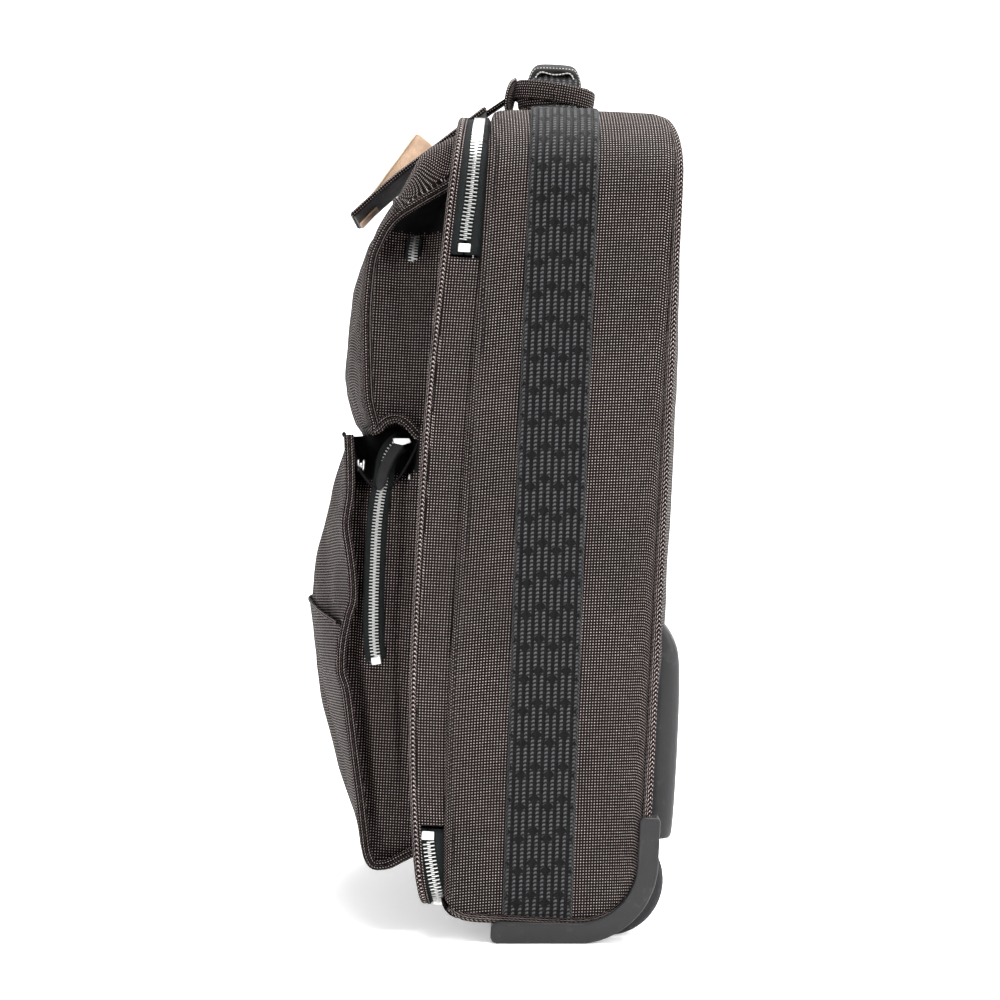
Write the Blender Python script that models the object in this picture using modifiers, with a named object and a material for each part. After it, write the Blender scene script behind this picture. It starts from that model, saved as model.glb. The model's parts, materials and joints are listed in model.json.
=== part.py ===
"""Rolling laptop case: a soft two-wheeled trolley case with a zipped lid, two front pockets,
a carry handle, a telescopic trolley handle and a luggage tag.

Metres, +Z up. The front faces -Y, the back and the wheels are at +Y, X runs across the case.
The floor is Z = 0. Every piece is modelled in the case's own upright frame and hangs from the
empty case_frame, which leans the whole case back by LEAN onto its wheels and corner guards.
"""

import math

import bmesh
import bpy
from mathutils import Matrix, Vector

MM = 0.001
LEAN = math.radians(2.86)  # the case stands tipped back by this much
DEPTH_SHIFT = 6.1 * MM  # puts the origin under the middle of the case's depth
GAP = 0.3 * MM  # clearance between neighbouring pieces

# Body of the case
HALF_W = 170 * MM
TOP_AT_ZERO = 510 * MM  # height of the top at y = 0; it rises backwards, so that it stands level
BODY_BOTTOM = 17.5 * MM
TOP_RADIUS = 55 * MM
SEAM_Y = -37 * MM  # where the gusset ends and the main zip begins
BACK_Y = 88 * MM  # outer face of the back piping
HEEL_RADIUS = 44 * MM  # round of the lower back corner, seen from the side
CLOTH = 2.4 * MM
PIPE_R = 3 * MM

# Webbing band over the gusset
WEB_Y = (-4 * MM, 38 * MM)
WEB_T = 1.6 * MM

# Main zip and lid
ZIP_Y = -46 * MM  # parting line between body and lid
ZIP_INSET = 1.4 * MM  # the zip lies this far inside the lid's outline
ZIP_T = 1.6 * MM
LID_HALF_W = 168 * MM
LID_TOP = 503 * MM
LID_BOTTOM = 17 * MM
LID_TOP_R = 50 * MM
LID_BOTTOM_R = 22 * MM
TAPE_EDGE_Y = -53 * MM
LID_FACE_Y = -58 * MM
ZIP_END_HIGH = 412 * MM  # the zip stops here on the hinge side, below the top
ZIP_END_LOW = 66 * MM

# Front pockets, both sewn to the lid
UPPER_HALF_W = 135 * MM
LOWER_HALF_W = 140 * MM
POCKET_CLOTH = 1.6 * MM
# Each pocket seen from the side, in millimetres: (y, z) round its front from the lid back to the lid
UPPER_PROFILE = [(-62.5, 481), (-85, 461), (-103, 442), (-109, 414)]
UPPER_PROFILE += [(-109.5, 352), (-105, 309), (-62.5, 309)]
LOWER_PROFILE = [(-62.5, 300), (-112, 303), (-108, 229), (-106, 200)]
LOWER_PROFILE += [(-106, 147), (-95, 82), (-88, 46), (-62.5, 50)]
POCKET_ZIP_Y = -89 * MM
POCKET_ZIP_END = 170 * MM

# Wheels
WHEEL_R = 34 * MM
WHEEL_W = 24 * MM
WHEEL_X = 138 * MM
WHEEL_Y = 64 * MM
AXLE_R = 4 * MM
WELL_HALF = 19.5 * MM
WELL_R = 40.5 * MM
TYRE_BORE = 27 * MM

# Trolley handle
TUBE_X = 62 * MM
TUBE_Y = 67 * MM
TUBE_FOOT = 60 * MM
CUP = (Vector((-86 * MM, 53 * MM, 485 * MM)), Vector((86 * MM, 81.4 * MM, 514.6 * MM)))

# Carry handle and tag
HANDLE_TOP = 556 * MM
HANDLE_Y = (-8 * MM, 26 * MM)
TAG_X = 38 * MM
TAG_PIN = (-21 * MM, 540 * MM)  # the tag swings about this line across the case

CASE = "rolling_laptop_case"


def clear_scene():
    for obj in list(bpy.data.objects):
        bpy.data.objects.remove(obj, do_unlink=True)
    for name in (CASE, "cutters"):
        bpy.context.scene.collection.children.link(bpy.data.collections.new(name))


def material(name, colour, roughness, metallic=0.0):
    made = bpy.data.materials.get(name) or bpy.data.materials.new(name)
    made.use_nodes = True
    shader = made.node_tree.nodes["Principled BSDF"]
    shader.inputs["Base Color"].default_value = (*colour, 1)
    shader.inputs["Roughness"].default_value = roughness
    shader.inputs["Metallic"].default_value = metallic
    return made


def finishes():
    return {
        "cloth": material("cloth", (0.075, 0.055, 0.055), 0.85),
        "piping": material("piping", (0.10, 0.085, 0.085), 0.8),
        "webbing": material("webbing", (0.03, 0.03, 0.033), 0.75),
        "zip_tape": material("zip_tape", (0.022, 0.024, 0.024), 0.8),
        "zip_metal": material("zip_metal", (0.78, 0.77, 0.74), 0.28, 1.0),
        "lining": material("lining", (0.05, 0.05, 0.055), 0.9),
        "board": material("board", (0.12, 0.12, 0.12), 0.6),
        "guard": material("guard", (0.04, 0.04, 0.042), 0.45),
        "housing": material("housing", (0.045, 0.045, 0.047), 0.5),
        "tyre": material("tyre", (0.03, 0.03, 0.032), 0.6),
        "hub": material("hub", (0.07, 0.07, 0.075), 0.45),
        "steel": material("steel", (0.62, 0.62, 0.63), 0.3, 1.0),
        "tube": material("tube", (0.55, 0.56, 0.58), 0.35, 1.0),
        "grip": material("grip", (0.02, 0.02, 0.022), 0.55),
        "handle_pad": material("handle_pad", (0.018, 0.018, 0.02), 0.6),
        "leather_black": material("leather_black", (0.03, 0.03, 0.032), 0.55),
        "leather_tan": material("leather_tan", (0.55, 0.36, 0.22), 0.5),
    }


def empty(name, location, parent=None):
    made = bpy.data.objects.new(name, None)
    bpy.data.collections[CASE].objects.link(made)
    made.parent = parent
    made.location = location
    return made


def body_top(y):
    """Height of the gusset's outer face on top, at a depth y."""
    return TOP_AT_ZERO + y * math.tan(LEAN)


class Bench:
    """Holds the finishes, the case's leaning frame and the empty that new pieces hang from."""

    def __init__(self):
        self.finish = finishes()
        self.frame = empty("case_frame", (0, DEPTH_SHIFT, 0))
        self.frame.rotation_euler = (-LEAN, 0, 0)
        self.pivot = self.frame

    def hang_from(self, name, location):
        """New pieces now hang from an empty on a joint's axis."""
        self.pivot = empty(name, location, self.frame)

    def hang_from_case(self):
        self.pivot = self.frame

    def add(self, name, data, finish):
        """Links a piece whose shape is in case coordinates, and hangs it from the current pivot."""
        obj = bpy.data.objects.new(name, data)
        if finish == "cutter":
            bpy.data.collections["cutters"].objects.link(obj)
            obj.hide_render = True
            obj.display_type = "WIRE"
        else:
            bpy.data.collections[CASE].objects.link(obj)
            data.materials.append(self.finish[finish])
        obj.parent = self.pivot
        if self.pivot is not self.frame:
            obj.location = -self.pivot.location
        return obj

    def add_bmesh(self, name, bm, finish):
        bmesh.ops.recalc_face_normals(bm, faces=bm.faces)
        mesh = bpy.data.meshes.new(name)
        bm.to_mesh(mesh)
        bm.free()
        return self.add(name, mesh, finish)


def arc(cx, cz, radius, start, end, steps):
    """Points on a circle from start to end degrees, counted from +X towards +Z."""
    angles = [math.radians(start + (end - start) * i / steps) for i in range(steps + 1)]
    return [(cx + radius * math.cos(a), cz + radius * math.sin(a)) for a in angles]


def arch_path(half_w, foot, top, radius, steps=6):
    """An upside-down U from the left foot, over the top, to the right foot."""
    left = arc(-half_w + radius, top - radius, radius, 180, 90, steps)
    right = arc(half_w - radius, top - radius, radius, 90, 0, steps)
    return [(-half_w, foot)] + left + right + [(half_w, foot)]


def ring_path(half_w, bottom, top, top_radius, bottom_radius, steps=6):
    """A closed round-cornered loop, clockwise seen from the front, starting low on the right."""
    low_right = arc(half_w - bottom_radius, bottom + bottom_radius, bottom_radius, 0, -90, steps)
    low_left = arc(-half_w + bottom_radius, bottom + bottom_radius, bottom_radius, 270, 180, steps)
    high_left = arc(-half_w + top_radius, top - top_radius, top_radius, 180, 90, steps)
    high_right = arc(half_w - top_radius, top - top_radius, top_radius, 90, 0, steps)
    return low_right + low_left + high_left + high_right


def inset_ring(distance):
    """The lid's outline, moved inwards."""
    return ring_path(
        LID_HALF_W - distance,
        LID_BOTTOM + distance,
        LID_TOP - distance,
        LID_TOP_R - distance,
        LID_BOTTOM_R - distance,
    )


def zip_path(distance):
    """The main zip's course: from its low end on the hinge side, round to its high end there."""
    ring = inset_ring(distance)
    right = ring[0][0]
    return [(right, ZIP_END_LOW)] + ring + [(right, ZIP_END_HIGH)]


def shell_between(bench, name, near, far, thickness, finish, closed=False):
    """An open strip between two rails of 3-D points, thickened inwards."""
    bm = bmesh.new()
    first = [bm.verts.new(p) for p in near]
    second = [bm.verts.new(p) for p in far]
    count = len(first)
    for i in range(count if closed else count - 1):
        j = (i + 1) % count
        bm.faces.new((first[i], first[j], second[j], second[i]))
    mesh = bpy.data.meshes.new(name)
    bm.to_mesh(mesh)
    bm.free()
    obj = bench.add(name, mesh, finish)
    solidify = obj.modifiers.new("thickness", "SOLIDIFY")
    solidify.thickness = thickness
    solidify.offset = -1
    solidify.use_even_offset = True
    return obj


def strip(bench, name, path, y0, y1, thickness, finish, closed=False):
    """A band that follows a path of (x, z) points and spans y0 (front) to y1 (back)."""
    near = [(x, y0, z) for x, z in path]
    far = [(x, y1, z) for x, z in path]
    return shell_between(bench, name, near, far, thickness, finish, closed)


def sloped_strip(bench, name, arch, y0, y1, thickness, finish):
    """A band over the body whose top follows body_top; arch gives its path from a top height."""
    near = [(x, y0, z) for x, z in arch(body_top(y0))]
    far = [(x, y1, z) for x, z in arch(body_top(y1))]
    return shell_between(bench, name, near, far, thickness, finish)


def crosswise(bench, name, path, half_w, thickness, finish):
    """A sheet that follows a path of (y, z) points and spans the case from -half_w to half_w."""
    near = [(half_w, y, z) for y, z in path]
    far = [(-half_w, y, z) for y, z in path]
    return shell_between(bench, name, near, far, thickness, finish)


def plate(bench, name, outline, y0, y1, finish):
    """A flat outline of (x, z) points with thickness along Y."""
    return prism(bench, name, [(x, y0, z) for x, z in outline], Vector((0, y1 - y0, 0)), finish)


def side_prism(bench, name, outline, x0, x1, finish):
    """A flat outline of (y, z) points with thickness along X."""
    return prism(bench, name, [(x0, y, z) for y, z in outline], Vector((x1 - x0, 0, 0)), finish)


def prism(bench, name, points, travel, finish):
    bm = bmesh.new()
    face = bm.faces.new([bm.verts.new(p) for p in points])
    grown = bmesh.ops.extrude_face_region(bm, geom=[face])
    moved = [v for v in grown["geom"] if isinstance(v, bmesh.types.BMVert)]
    bmesh.ops.translate(bm, vec=travel, verts=moved)
    return bench.add_bmesh(name, bm, finish)


def block(bench, name, low, high, finish, bevel=0.0, segments=2):
    bm = bmesh.new()
    bmesh.ops.create_cube(bm, size=1)
    low, high = Vector(low), Vector(high)
    size = high - low
    bmesh.ops.scale(bm, vec=size, verts=bm.verts)
    bmesh.ops.translate(bm, vec=(low + high) / 2, verts=bm.verts)
    obj = bench.add_bmesh(name, bm, finish)
    if bevel:
        add_bevel(obj, bevel, segments)
    return obj


def add_bevel(obj, width, segments=2):
    bevel = obj.modifiers.new("rounded edges", "BEVEL")
    bevel.width = width
    bevel.segments = segments
    bevel.limit_method = "ANGLE"


def rod(bench, name, centre, radius, length, finish, axis="X", sides=24):
    bm = bmesh.new()
    bmesh.ops.create_cone(
        bm, cap_ends=True, segments=sides, radius1=radius, radius2=radius, depth=length
    )
    turn = Matrix.Rotation(math.pi / 2, 4, "Y") if axis == "X" else Matrix()
    bmesh.ops.transform(bm, matrix=Matrix.Translation(centre) @ turn, verts=bm.verts)
    return bench.add_bmesh(name, bm, finish)


def turned(bench, name, profile, centre, finish, along_x=False, steps=24):
    """A closed (radius, height) profile turned about its axis, which stands up or lies along X."""
    mesh = bpy.data.meshes.new(name)
    count = len(profile)
    edges = [(i, (i + 1) % count) for i in range(count)]
    mesh.from_pydata([(r, 0, h) for r, h in profile], edges, [])
    obj = bench.add(name, mesh, finish)
    screw = obj.modifiers.new("turned", "SCREW")
    screw.steps = screw.render_steps = steps
    screw.use_merge_vertices = True
    screw.merge_threshold = 0.01 * MM
    obj.location = Vector(obj.location) + Vector(centre)
    if along_x:
        obj.rotation_euler = (0, math.pi / 2, 0)
    return obj


def tube_profile(outer, inner, half_length):
    """Profile of a tube: down its outer side, then up its bore."""
    return [(outer, half_length), (outer, -half_length), (inner, -half_length), (inner, half_length)]


def cord(bench, name, points, radius, finish, cyclic=False, resolution=1):
    curve = bpy.data.curves.new(name, "CURVE")
    curve.dimensions = "3D"
    curve.bevel_depth = radius
    curve.bevel_resolution = resolution
    curve.use_fill_caps = True
    spline = curve.splines.new("POLY")
    spline.points.add(len(points) - 1)
    for point, place in zip(spline.points, points):
        point.co = (*place, 1)
    spline.use_cyclic_u = cyclic
    return bench.add(name, curve, finish)


def cut(obj, cutter, operation="DIFFERENCE"):
    boolean = obj.modifiers.new(cutter.name, "BOOLEAN")
    boolean.operation = operation
    boolean.object = cutter
    boolean.solver = "EXACT"
    return obj


def side_outline():
    """The body seen from the side: straight front, rounded heel, small rounds elsewhere."""
    low, high = BODY_BOTTOM, body_top(BACK_Y) + 2 * MM
    front, back = SEAM_Y, BACK_Y - 2 * PIPE_R - GAP
    heel = HEEL_RADIUS - 2 * PIPE_R
    toe = 12 * MM
    points = [(front, high), (front, low + toe)]
    points += arc(front + toe, low + toe, toe, 180, 270, 3)[1:]
    points += arc(back - heel, low + heel, heel, 270, 360, 6)
    return points + [(back, high)]


def build_body(bench):
    def arch(top):
        return arch_path(HALF_W, BODY_BOTTOM - 8 * MM, top, TOP_RADIUS)

    gusset = sloped_strip(bench, "main_gusset", arch, SEAM_Y, BACK_Y, CLOTH, "cloth")
    outline = side_prism(bench, "cut_gusset", side_outline(), -HALF_W - MM, HALF_W + MM, "cutter")
    cut(gusset, outline, "INTERSECT")
    low, high = CUP
    clear = Vector((GAP, GAP, GAP))
    cup_hole = block(bench, "cut_cup", low - clear, high + clear + Vector((0, 0, 5 * MM)), "cutter")
    cut(gusset, cup_hole)

    inner = PIPE_R * 2 + GAP
    back_low = BODY_BOTTOM + HEEL_RADIUS
    corner = (HALF_W - TOP_RADIUS, body_top(BACK_Y) - TOP_RADIUS)
    back = [(HALF_W - inner, back_low), *arc(*corner, TOP_RADIUS - inner, 0, 90, 6)]
    back += [(-x, z) for x, z in reversed(back)]
    plate(bench, "back_panel", back, BACK_Y - 4 * MM, BACK_Y - 1 * MM, "cloth")

    under, toe = BODY_BOTTOM - 5 * MM, 12 * MM
    heel = arc(BACK_Y - MM - HEEL_RADIUS, under + HEEL_RADIUS, HEEL_RADIUS, 0, -90, 6)
    front = arc(SEAM_Y + toe, under + toe, toe, -90, -180, 3)
    floor_path = [(BACK_Y - MM, back_low - GAP)] + heel + front
    floor = crosswise(bench, "bottom_panel", floor_path, HALF_W - inner, CLOTH, "cloth")
    for side in (-1, 1):
        name = "left" if side < 0 else "right"
        middle = side * WHEEL_X
        reach = WELL_HALF + GAP
        low = (middle - reach, 22 * MM, -5 * MM)
        high = (middle + reach, 115 * MM, 78 * MM)
        cut(floor, block(bench, "cut_wheel_" + name, low, high, "cutter"))
    back_obj = bpy.data.objects["back_panel"]
    for name in ("left", "right"):
        cut(back_obj, bpy.data.objects["cut_wheel_" + name])

    block(bench, "back_board", (-112 * MM, 79 * MM, 64 * MM), (112 * MM, 82 * MM, 484 * MM), "board")
    frame_inset = CLOTH + 3 * MM
    sill, head = BODY_BOTTOM + frame_inset + 7 * MM, body_top(SEAM_Y) - frame_inset
    loop = ring_path(HALF_W - frame_inset, sill, head, TOP_RADIUS - frame_inset, 20 * MM, 5)
    wire = [(x, SEAM_Y + 4 * MM, z) for x, z in loop]
    cord(bench, "opening_frame", wire, 2 * MM, "steel", cyclic=True)


def build_back_piping(bench):
    x = HALF_W - PIPE_R
    low, back = BODY_BOTTOM - PIPE_R - GAP, BACK_Y - PIPE_R
    bend = HEEL_RADIUS - PIPE_R
    side = [(SEAM_Y + 16 * MM, low)] + arc(back - bend, low + bend, bend, -90, 0, 6)
    arch = arch_path(x, 0, body_top(back) - PIPE_R, TOP_RADIUS - PIPE_R)[1:-1]
    points = [(-x, y, z) for y, z in side]
    points += [(px, back, pz) for px, pz in arch]
    points += [(x, y, z) for y, z in reversed(side)]
    cord(bench, "back_piping", points, PIPE_R, "piping")


def build_webbing(bench):
    out = WEB_T + GAP

    def arch(top):
        return arch_path(HALF_W + out, BODY_BOTTOM + MM, top + out, TOP_RADIUS + out)

    sloped_strip(bench, "webbing_band", arch, *WEB_Y, WEB_T, "webbing")


def build_corner_guards(bench):
    """L-shaped plastic guards round the lower back corners; their undersides are cut flat as feet."""
    outer_y, foot_z, arm_top, toe_y = 92.5 * MM, -3 * MM, 80 * MM, -6 * MM
    outer_r, width, heel_z = 49.5 * MM, 13.2 * MM, 51.6 * MM
    outer = [(toe_y + 4 * MM, foot_z)] + arc(outer_y - outer_r, heel_z, outer_r, -90, 0, 8)
    outer += [(outer_y, arm_top)]
    inner_r = outer_r - width
    inner = [(outer_y - width, arm_top)] + arc(outer_y - outer_r, heel_z, inner_r, 0, -90, 8)
    inner += [(toe_y + 2 * MM, foot_z + width), (toe_y, foot_z + width - 3 * MM), (toe_y, foot_z + 3 * MM)]
    floor_cut = block(bench, "cut_floor", (-0.3, -0.1, -0.05), (0.3, 0.2, 0), "cutter")
    floor_cut.parent = None  # the floor is level, and doesn't lean with the case
    for side, name in ((-1, "left"), (1, "right")):
        x0, x1 = side * 158.2 * MM, side * 172.5 * MM
        guard = side_prism(bench, "corner_guard_" + name, outer + inner, min(x0, x1), max(x0, x1), "guard")
        cut(guard, floor_cut)
        cut(guard, bpy.data.objects["back_piping_room"])
        add_bevel(guard, 1.2 * MM, 1)


def build_piping_room(bench):
    """Space that the guards leave for the body behind them."""
    low = BODY_BOTTOM - 2 * PIPE_R - 2 * GAP
    back = BACK_Y + GAP
    heel = HEEL_RADIUS + GAP
    outline = [(-60 * MM, 120 * MM), (-60 * MM, low)]
    outline += arc(back - heel, low + heel, heel, -90, 0, 8) + [(back, 120 * MM)]
    side_prism(bench, "back_piping_room", outline, -HALF_W - GAP, HALF_W + GAP, "cutter")


def build_wheel_well(bench, name, centre):
    """A housing open below and behind, with the axle across it."""
    inside, reach, side = 2 * WELL_HALF - 6 * MM, 30 * MM, 60 * MM
    well = rod(bench, "wheel_well_" + name, centre, WELL_R, 2 * WELL_HALF, "housing", sides=32)
    cutters = [rod(bench, "cut_well_" + name, centre, WELL_R - 3.5 * MM, inside, "cutter", sides=32)]
    below = (centre + Vector((-reach, -side, -side)), centre + Vector((reach, side, -19 * MM)))
    behind = (centre + Vector((-reach, 20 * MM, -side)), centre + Vector((reach, side, side)))
    cutters.append(block(bench, "cut_under_" + name, *below, "cutter"))
    cutters.append(block(bench, "cut_behind_" + name, *behind, "cutter"))
    cutters.append(rod(bench, "cut_axle_" + name, centre, AXLE_R + GAP, 2 * side, "cutter"))
    for cutter in cutters:
        cut(well, cutter)
    rod(bench, "axle_" + name, centre, AXLE_R, 2 * WELL_HALF - MM, "steel")


def hub_profile(half, bore):
    """A wheel's hub: a thick rim and a thick boss with a thin web between them."""
    rim, rim_in, boss, web = TYRE_BORE - GAP, 22 * MM, 11 * MM, 5 * MM
    step = MM
    near = [(boss - step, half), (boss + step, web), (rim_in - step, web), (rim_in + step, half)]
    down = [(rim, half), (rim, -half)] + [(r, -h) for r, h in reversed(near)]
    return down + [(bore, -half), (bore, half)] + near


def build_wheels(bench):
    half = WHEEL_W / 2
    tyre = [(31 * MM, half), (WHEEL_R - MM, half - 1.5 * MM), (WHEEL_R, half - 4 * MM)]
    tyre += [(r, -h) for r, h in reversed(tyre)] + [(TYRE_BORE, -half), (TYRE_BORE, half)]
    hub = hub_profile(half - MM, AXLE_R + 0.1 * MM)
    for side, name in ((-1, "left"), (1, "right")):
        bench.hang_from_case()
        centre = Vector((side * WHEEL_X, WHEEL_Y, wheel_height()))
        build_wheel_well(bench, name, centre)
        bench.hang_from("wheel_axis_" + name, centre)
        turned(bench, "tyre_" + name, tyre, centre, "tyre", along_x=True, steps=32)
        turned(bench, "hub_" + name, hub, centre, "hub", along_x=True, steps=32)
    bench.hang_from_case()


def wheel_height():
    """Height of the axle in the leaning frame, so that the tyres just touch the floor."""
    return (WHEEL_R + WHEEL_Y * math.sin(LEAN)) / math.cos(LEAN)


def build_trolley_housing(bench):
    """The moulded cover low on the back, open towards the case."""
    half_w, wall = 128 * MM, 3 * MM
    outline = [(88.6, 66), (98, 62), (103.5, 66), (104.5, 100)]
    outline += [(104.5, 172), (102, 184), (96, 192), (88.6, 197)]
    cover = side_prism(bench, "trolley_housing", scaled(outline), -half_w, half_w, "housing")
    low = (-half_w + wall, 80 * MM, 69 * MM)
    high = (half_w - wall, 101.5 * MM, 181 * MM)
    cut(cover, block(bench, "cut_housing", low, high, "cutter"))
    add_bevel(cover, 2 * MM, 2)


def build_handle_cup(bench):
    """The recess in the top that the trolley grip sinks into."""
    low, high = CUP
    cup = block(bench, "handle_cup", low, high, "housing")
    wall = Vector((1.5 * MM, 1.5 * MM, 0))
    floor, lift = Vector((0, 0, 1.5 * MM)), Vector((0, 0, 10 * MM))
    cut(cup, block(bench, "cut_cup_room", low + wall + floor, high - wall + lift, "cutter"))
    for side, name in ((-1, "left"), (1, "right")):
        foot = (side * TUBE_X, TUBE_Y, low.z)
        cut(cup, rod(bench, "cut_tube_" + name, foot, 7.4 * MM, 20 * MM, "cutter", axis="Z"))


def build_trolley(bench):
    build_trolley_housing(bench)
    foot_low, foot_high = (-82 * MM, 56 * MM, 42 * MM), (82 * MM, 78 * MM, TUBE_FOOT - GAP)
    block(bench, "trolley_bracket", foot_low, foot_high, "housing", 1.5 * MM, 1)
    build_handle_cup(bench)

    stages = (  # name, outer and inner radius in millimetres, foot, head, joint's empty
        ("outer_tube_", 8.0, 7.2, TUBE_FOOT, CUP[0].z - GAP, None),
        ("middle_tube_", 6.9, 6.1, 70 * MM, 491 * MM, "trolley_middle_axis"),
        ("inner_tube_", 5.8, 4.8, 80 * MM, 495 * MM, "trolley_top_axis"),
    )
    for prefix, outer, inner, foot, head, pivot in stages:
        if pivot:
            bench.hang_from(pivot, (0, TUBE_Y, head))
        profile = tube_profile(outer * MM, inner * MM, (head - foot) / 2)
        for side, name in ((-1, "left"), (1, "right")):
            centre = Vector((side * TUBE_X, TUBE_Y, (foot + head) / 2))
            turned(bench, prefix + name, profile, centre, "tube", steps=20)

    low, high = (-80 * MM, 56.3 * MM, 495.5 * MM), (80 * MM, 77.7 * MM, 512.5 * MM)
    grip = block(bench, "trolley_grip", low, high, "grip", 2 * MM)
    low, high = (-15 * MM, 61.5 * MM, 504 * MM), (15 * MM, 72.5 * MM, 530 * MM)
    cut(grip, block(bench, "cut_button", low, high, "cutter"))
    bench.hang_from("button_axis", (0, TUBE_Y, 512.5 * MM))
    low, high = (-14.6 * MM, 61.9 * MM, 508 * MM), (14.6 * MM, 72.1 * MM, 514 * MM)
    block(bench, "release_button", low, high, "hub", MM)
    bench.hang_from_case()


def build_main_zip_on_body(bench):
    strip(bench, "body_zip_half", zip_path(ZIP_INSET), ZIP_Y + GAP / 2, SEAM_Y - GAP, ZIP_T, "zip_tape")
    x = LID_HALF_W - 0.5 * MM
    path = [(x, ZIP_END_HIGH - 2 * MM), (x, ZIP_END_LOW + 2 * MM)]
    strip(bench, "hinge_strip", path, TAPE_EDGE_Y + GAP, SEAM_Y - GAP, 1.2 * MM, "cloth")


def build_lid(bench):
    bench.hang_from("lid_axis", (LID_HALF_W + 0.5 * MM, ZIP_Y, 0))
    strip(bench, "lid_zip_half", zip_path(ZIP_INSET), TAPE_EDGE_Y, ZIP_Y - GAP / 2, ZIP_T, "zip_tape")
    band_front = LID_FACE_Y + 1.4 * MM
    strip(bench, "lid_band", inset_ring(0), band_front, TAPE_EDGE_Y - GAP, CLOTH, "cloth", closed=True)
    pipe_r = 2.7 * MM
    loop = [(x, band_front - GAP - pipe_r, z) for x, z in inset_ring(pipe_r)]
    cord(bench, "lid_piping", loop, pipe_r, "piping", cyclic=True)
    plate(bench, "lid_panel", inset_ring(2 * pipe_r + GAP), LID_FACE_Y - 2.6 * MM, LID_FACE_Y, "cloth")


def scaled(profile):
    return [(y * MM, z * MM) for y, z in profile]


def pocket_gusset(bench, name, profile, half_w):
    """The pocket's two sides and its bottom, as one U of cloth."""
    gusset = side_prism(bench, name, profile, -half_w, half_w, "cloth")
    floor = min(z for y, z in profile) + 6 * MM
    room = half_w - POCKET_CLOTH
    hollow = block(bench, "cut_" + name, (-room, -0.2, floor), (room, 0, 0.6), "cutter")
    cut(gusset, hollow)
    return gusset


def pocket_edge(profile, half_w, radius):
    """The piped edge: down one side of the front, across its foot, up the other side."""
    x = half_w - radius
    out = radius + 0.4 * MM
    left = [(-x, y - out, z) for y, z in profile]
    return left + [(x, y, z) for _, y, z in reversed(left)]


def build_upper_pocket(bench):
    profile = scaled(UPPER_PROFILE)
    pocket_gusset(bench, "upper_pocket_gusset", profile, UPPER_HALF_W)
    inner = UPPER_HALF_W - POCKET_CLOTH - GAP
    front = [(y + 0.6 * MM, z - 0.6 * MM) for y, z in profile[:-1]]
    front[-1] = (front[-1][0], profile[-1][1] + 6.6 * MM)
    crosswise(bench, "upper_pocket_front", list(reversed(front)), inner, POCKET_CLOTH, "cloth")
    edge = pocket_edge(profile[1:-1], UPPER_HALF_W, 2 * MM)
    cord(bench, "upper_pocket_piping", edge, 2 * MM, "piping")
    flap = [(-62.5 * MM, 493 * MM), (-88 * MM, 471 * MM)]
    flap_half = UPPER_HALF_W - 6 * MM
    crosswise(bench, "upper_pocket_flap", list(reversed(flap)), flap_half, POCKET_CLOTH, "cloth")
    x = UPPER_HALF_W + 1.4 * MM
    rear_y, near_y, foot, top = -70 * MM, -82 * MM, 410 * MM, 480 * MM
    rear = [(-x, rear_y, foot), (-x, rear_y, top), (x, rear_y, top), (x, rear_y, foot)]
    near = [(px, near_y, pz - (10 * MM if pz == top else 0)) for px, _, pz in rear]
    shell_between(bench, "upper_pocket_zip", near, rear, MM, "zip_tape")


def build_lower_pocket(bench):
    profile = scaled(LOWER_PROFILE)
    pocket_gusset(bench, "lower_pocket_gusset", profile, LOWER_HALF_W)
    inner = LOWER_HALF_W - POCKET_CLOTH - GAP
    bulging_sheet(bench, "lower_pocket_front", profile[1:-1], inner, 0.0, 56 * MM, 302 * MM)
    bulging_sheet(bench, "slip_pocket", profile[1:-1], inner - 2 * MM, 3.2 * MM, 62 * MM, 200 * MM)
    edge = pocket_edge(profile[1:-1], LOWER_HALF_W, 2.2 * MM)
    cord(bench, "lower_pocket_piping", edge, 2.2 * MM, "piping")
    top = [(-64 * MM, 296 * MM), (-102 * MM, 297.5 * MM)]
    crosswise(bench, "lower_pocket_top", list(reversed(top)), inner, POCKET_CLOTH, "cloth")
    x = LOWER_HALF_W + 1.5 * MM
    path = [(-x, POCKET_ZIP_END), (-x, 305.5 * MM), (x, 305.5 * MM), (x, POCKET_ZIP_END)]
    zip_y = (POCKET_ZIP_Y - 8 * MM, POCKET_ZIP_Y + 8 * MM)
    strip(bench, "lower_pocket_zip", path, *zip_y, MM, "zip_tape")
    rod(bench, "snap_button", (0, -103 * MM, 301 * MM), 6 * MM, 3 * MM, "zip_metal", axis="Z", sides=20)


def edge_y(profile, z):
    """How far forward a pocket's piped edge stands at a height."""
    for (y0, z0), (y1, z1) in zip(profile, profile[1:]):
        if z1 <= z <= z0:
            return y0 + (y1 - y0) * (z0 - z) / (z0 - z1)
    return profile[-1][0]


def bulging_sheet(bench, name, profile, half_w, outward, low, high):
    """A panel that swells forward between its piped edges."""
    columns, rows = 8, 8
    swell, belly = 28 * MM, 215 * MM
    grid = []
    for row in range(rows + 1):
        z = low + (high - low) * row / rows
        fade = 1 - min(1, abs(z - belly) / (165 * MM)) ** 2
        line = []
        for column in range(columns + 1):
            u = -1 + 2 * column / columns
            y = edge_y(profile, z) + 1.5 * MM - swell * fade * (1 - u * u) - outward
            line.append((u * half_w, y, z))
        grid.append(line)
    bm = bmesh.new()
    verts = [[bm.verts.new(p) for p in line] for line in grid]
    for lower, upper in zip(verts, verts[1:]):
        for a, b, c, d in zip(lower, lower[1:], upper[1:], upper):
            bm.faces.new((a, b, c, d))
    mesh = bpy.data.meshes.new(name)
    bm.to_mesh(mesh)
    bm.free()
    obj = bench.add(name, mesh, "cloth")
    solidify = obj.modifiers.new("thickness", "SOLIDIFY")
    solidify.thickness = 1.4 * MM
    solidify.offset = -1


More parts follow.
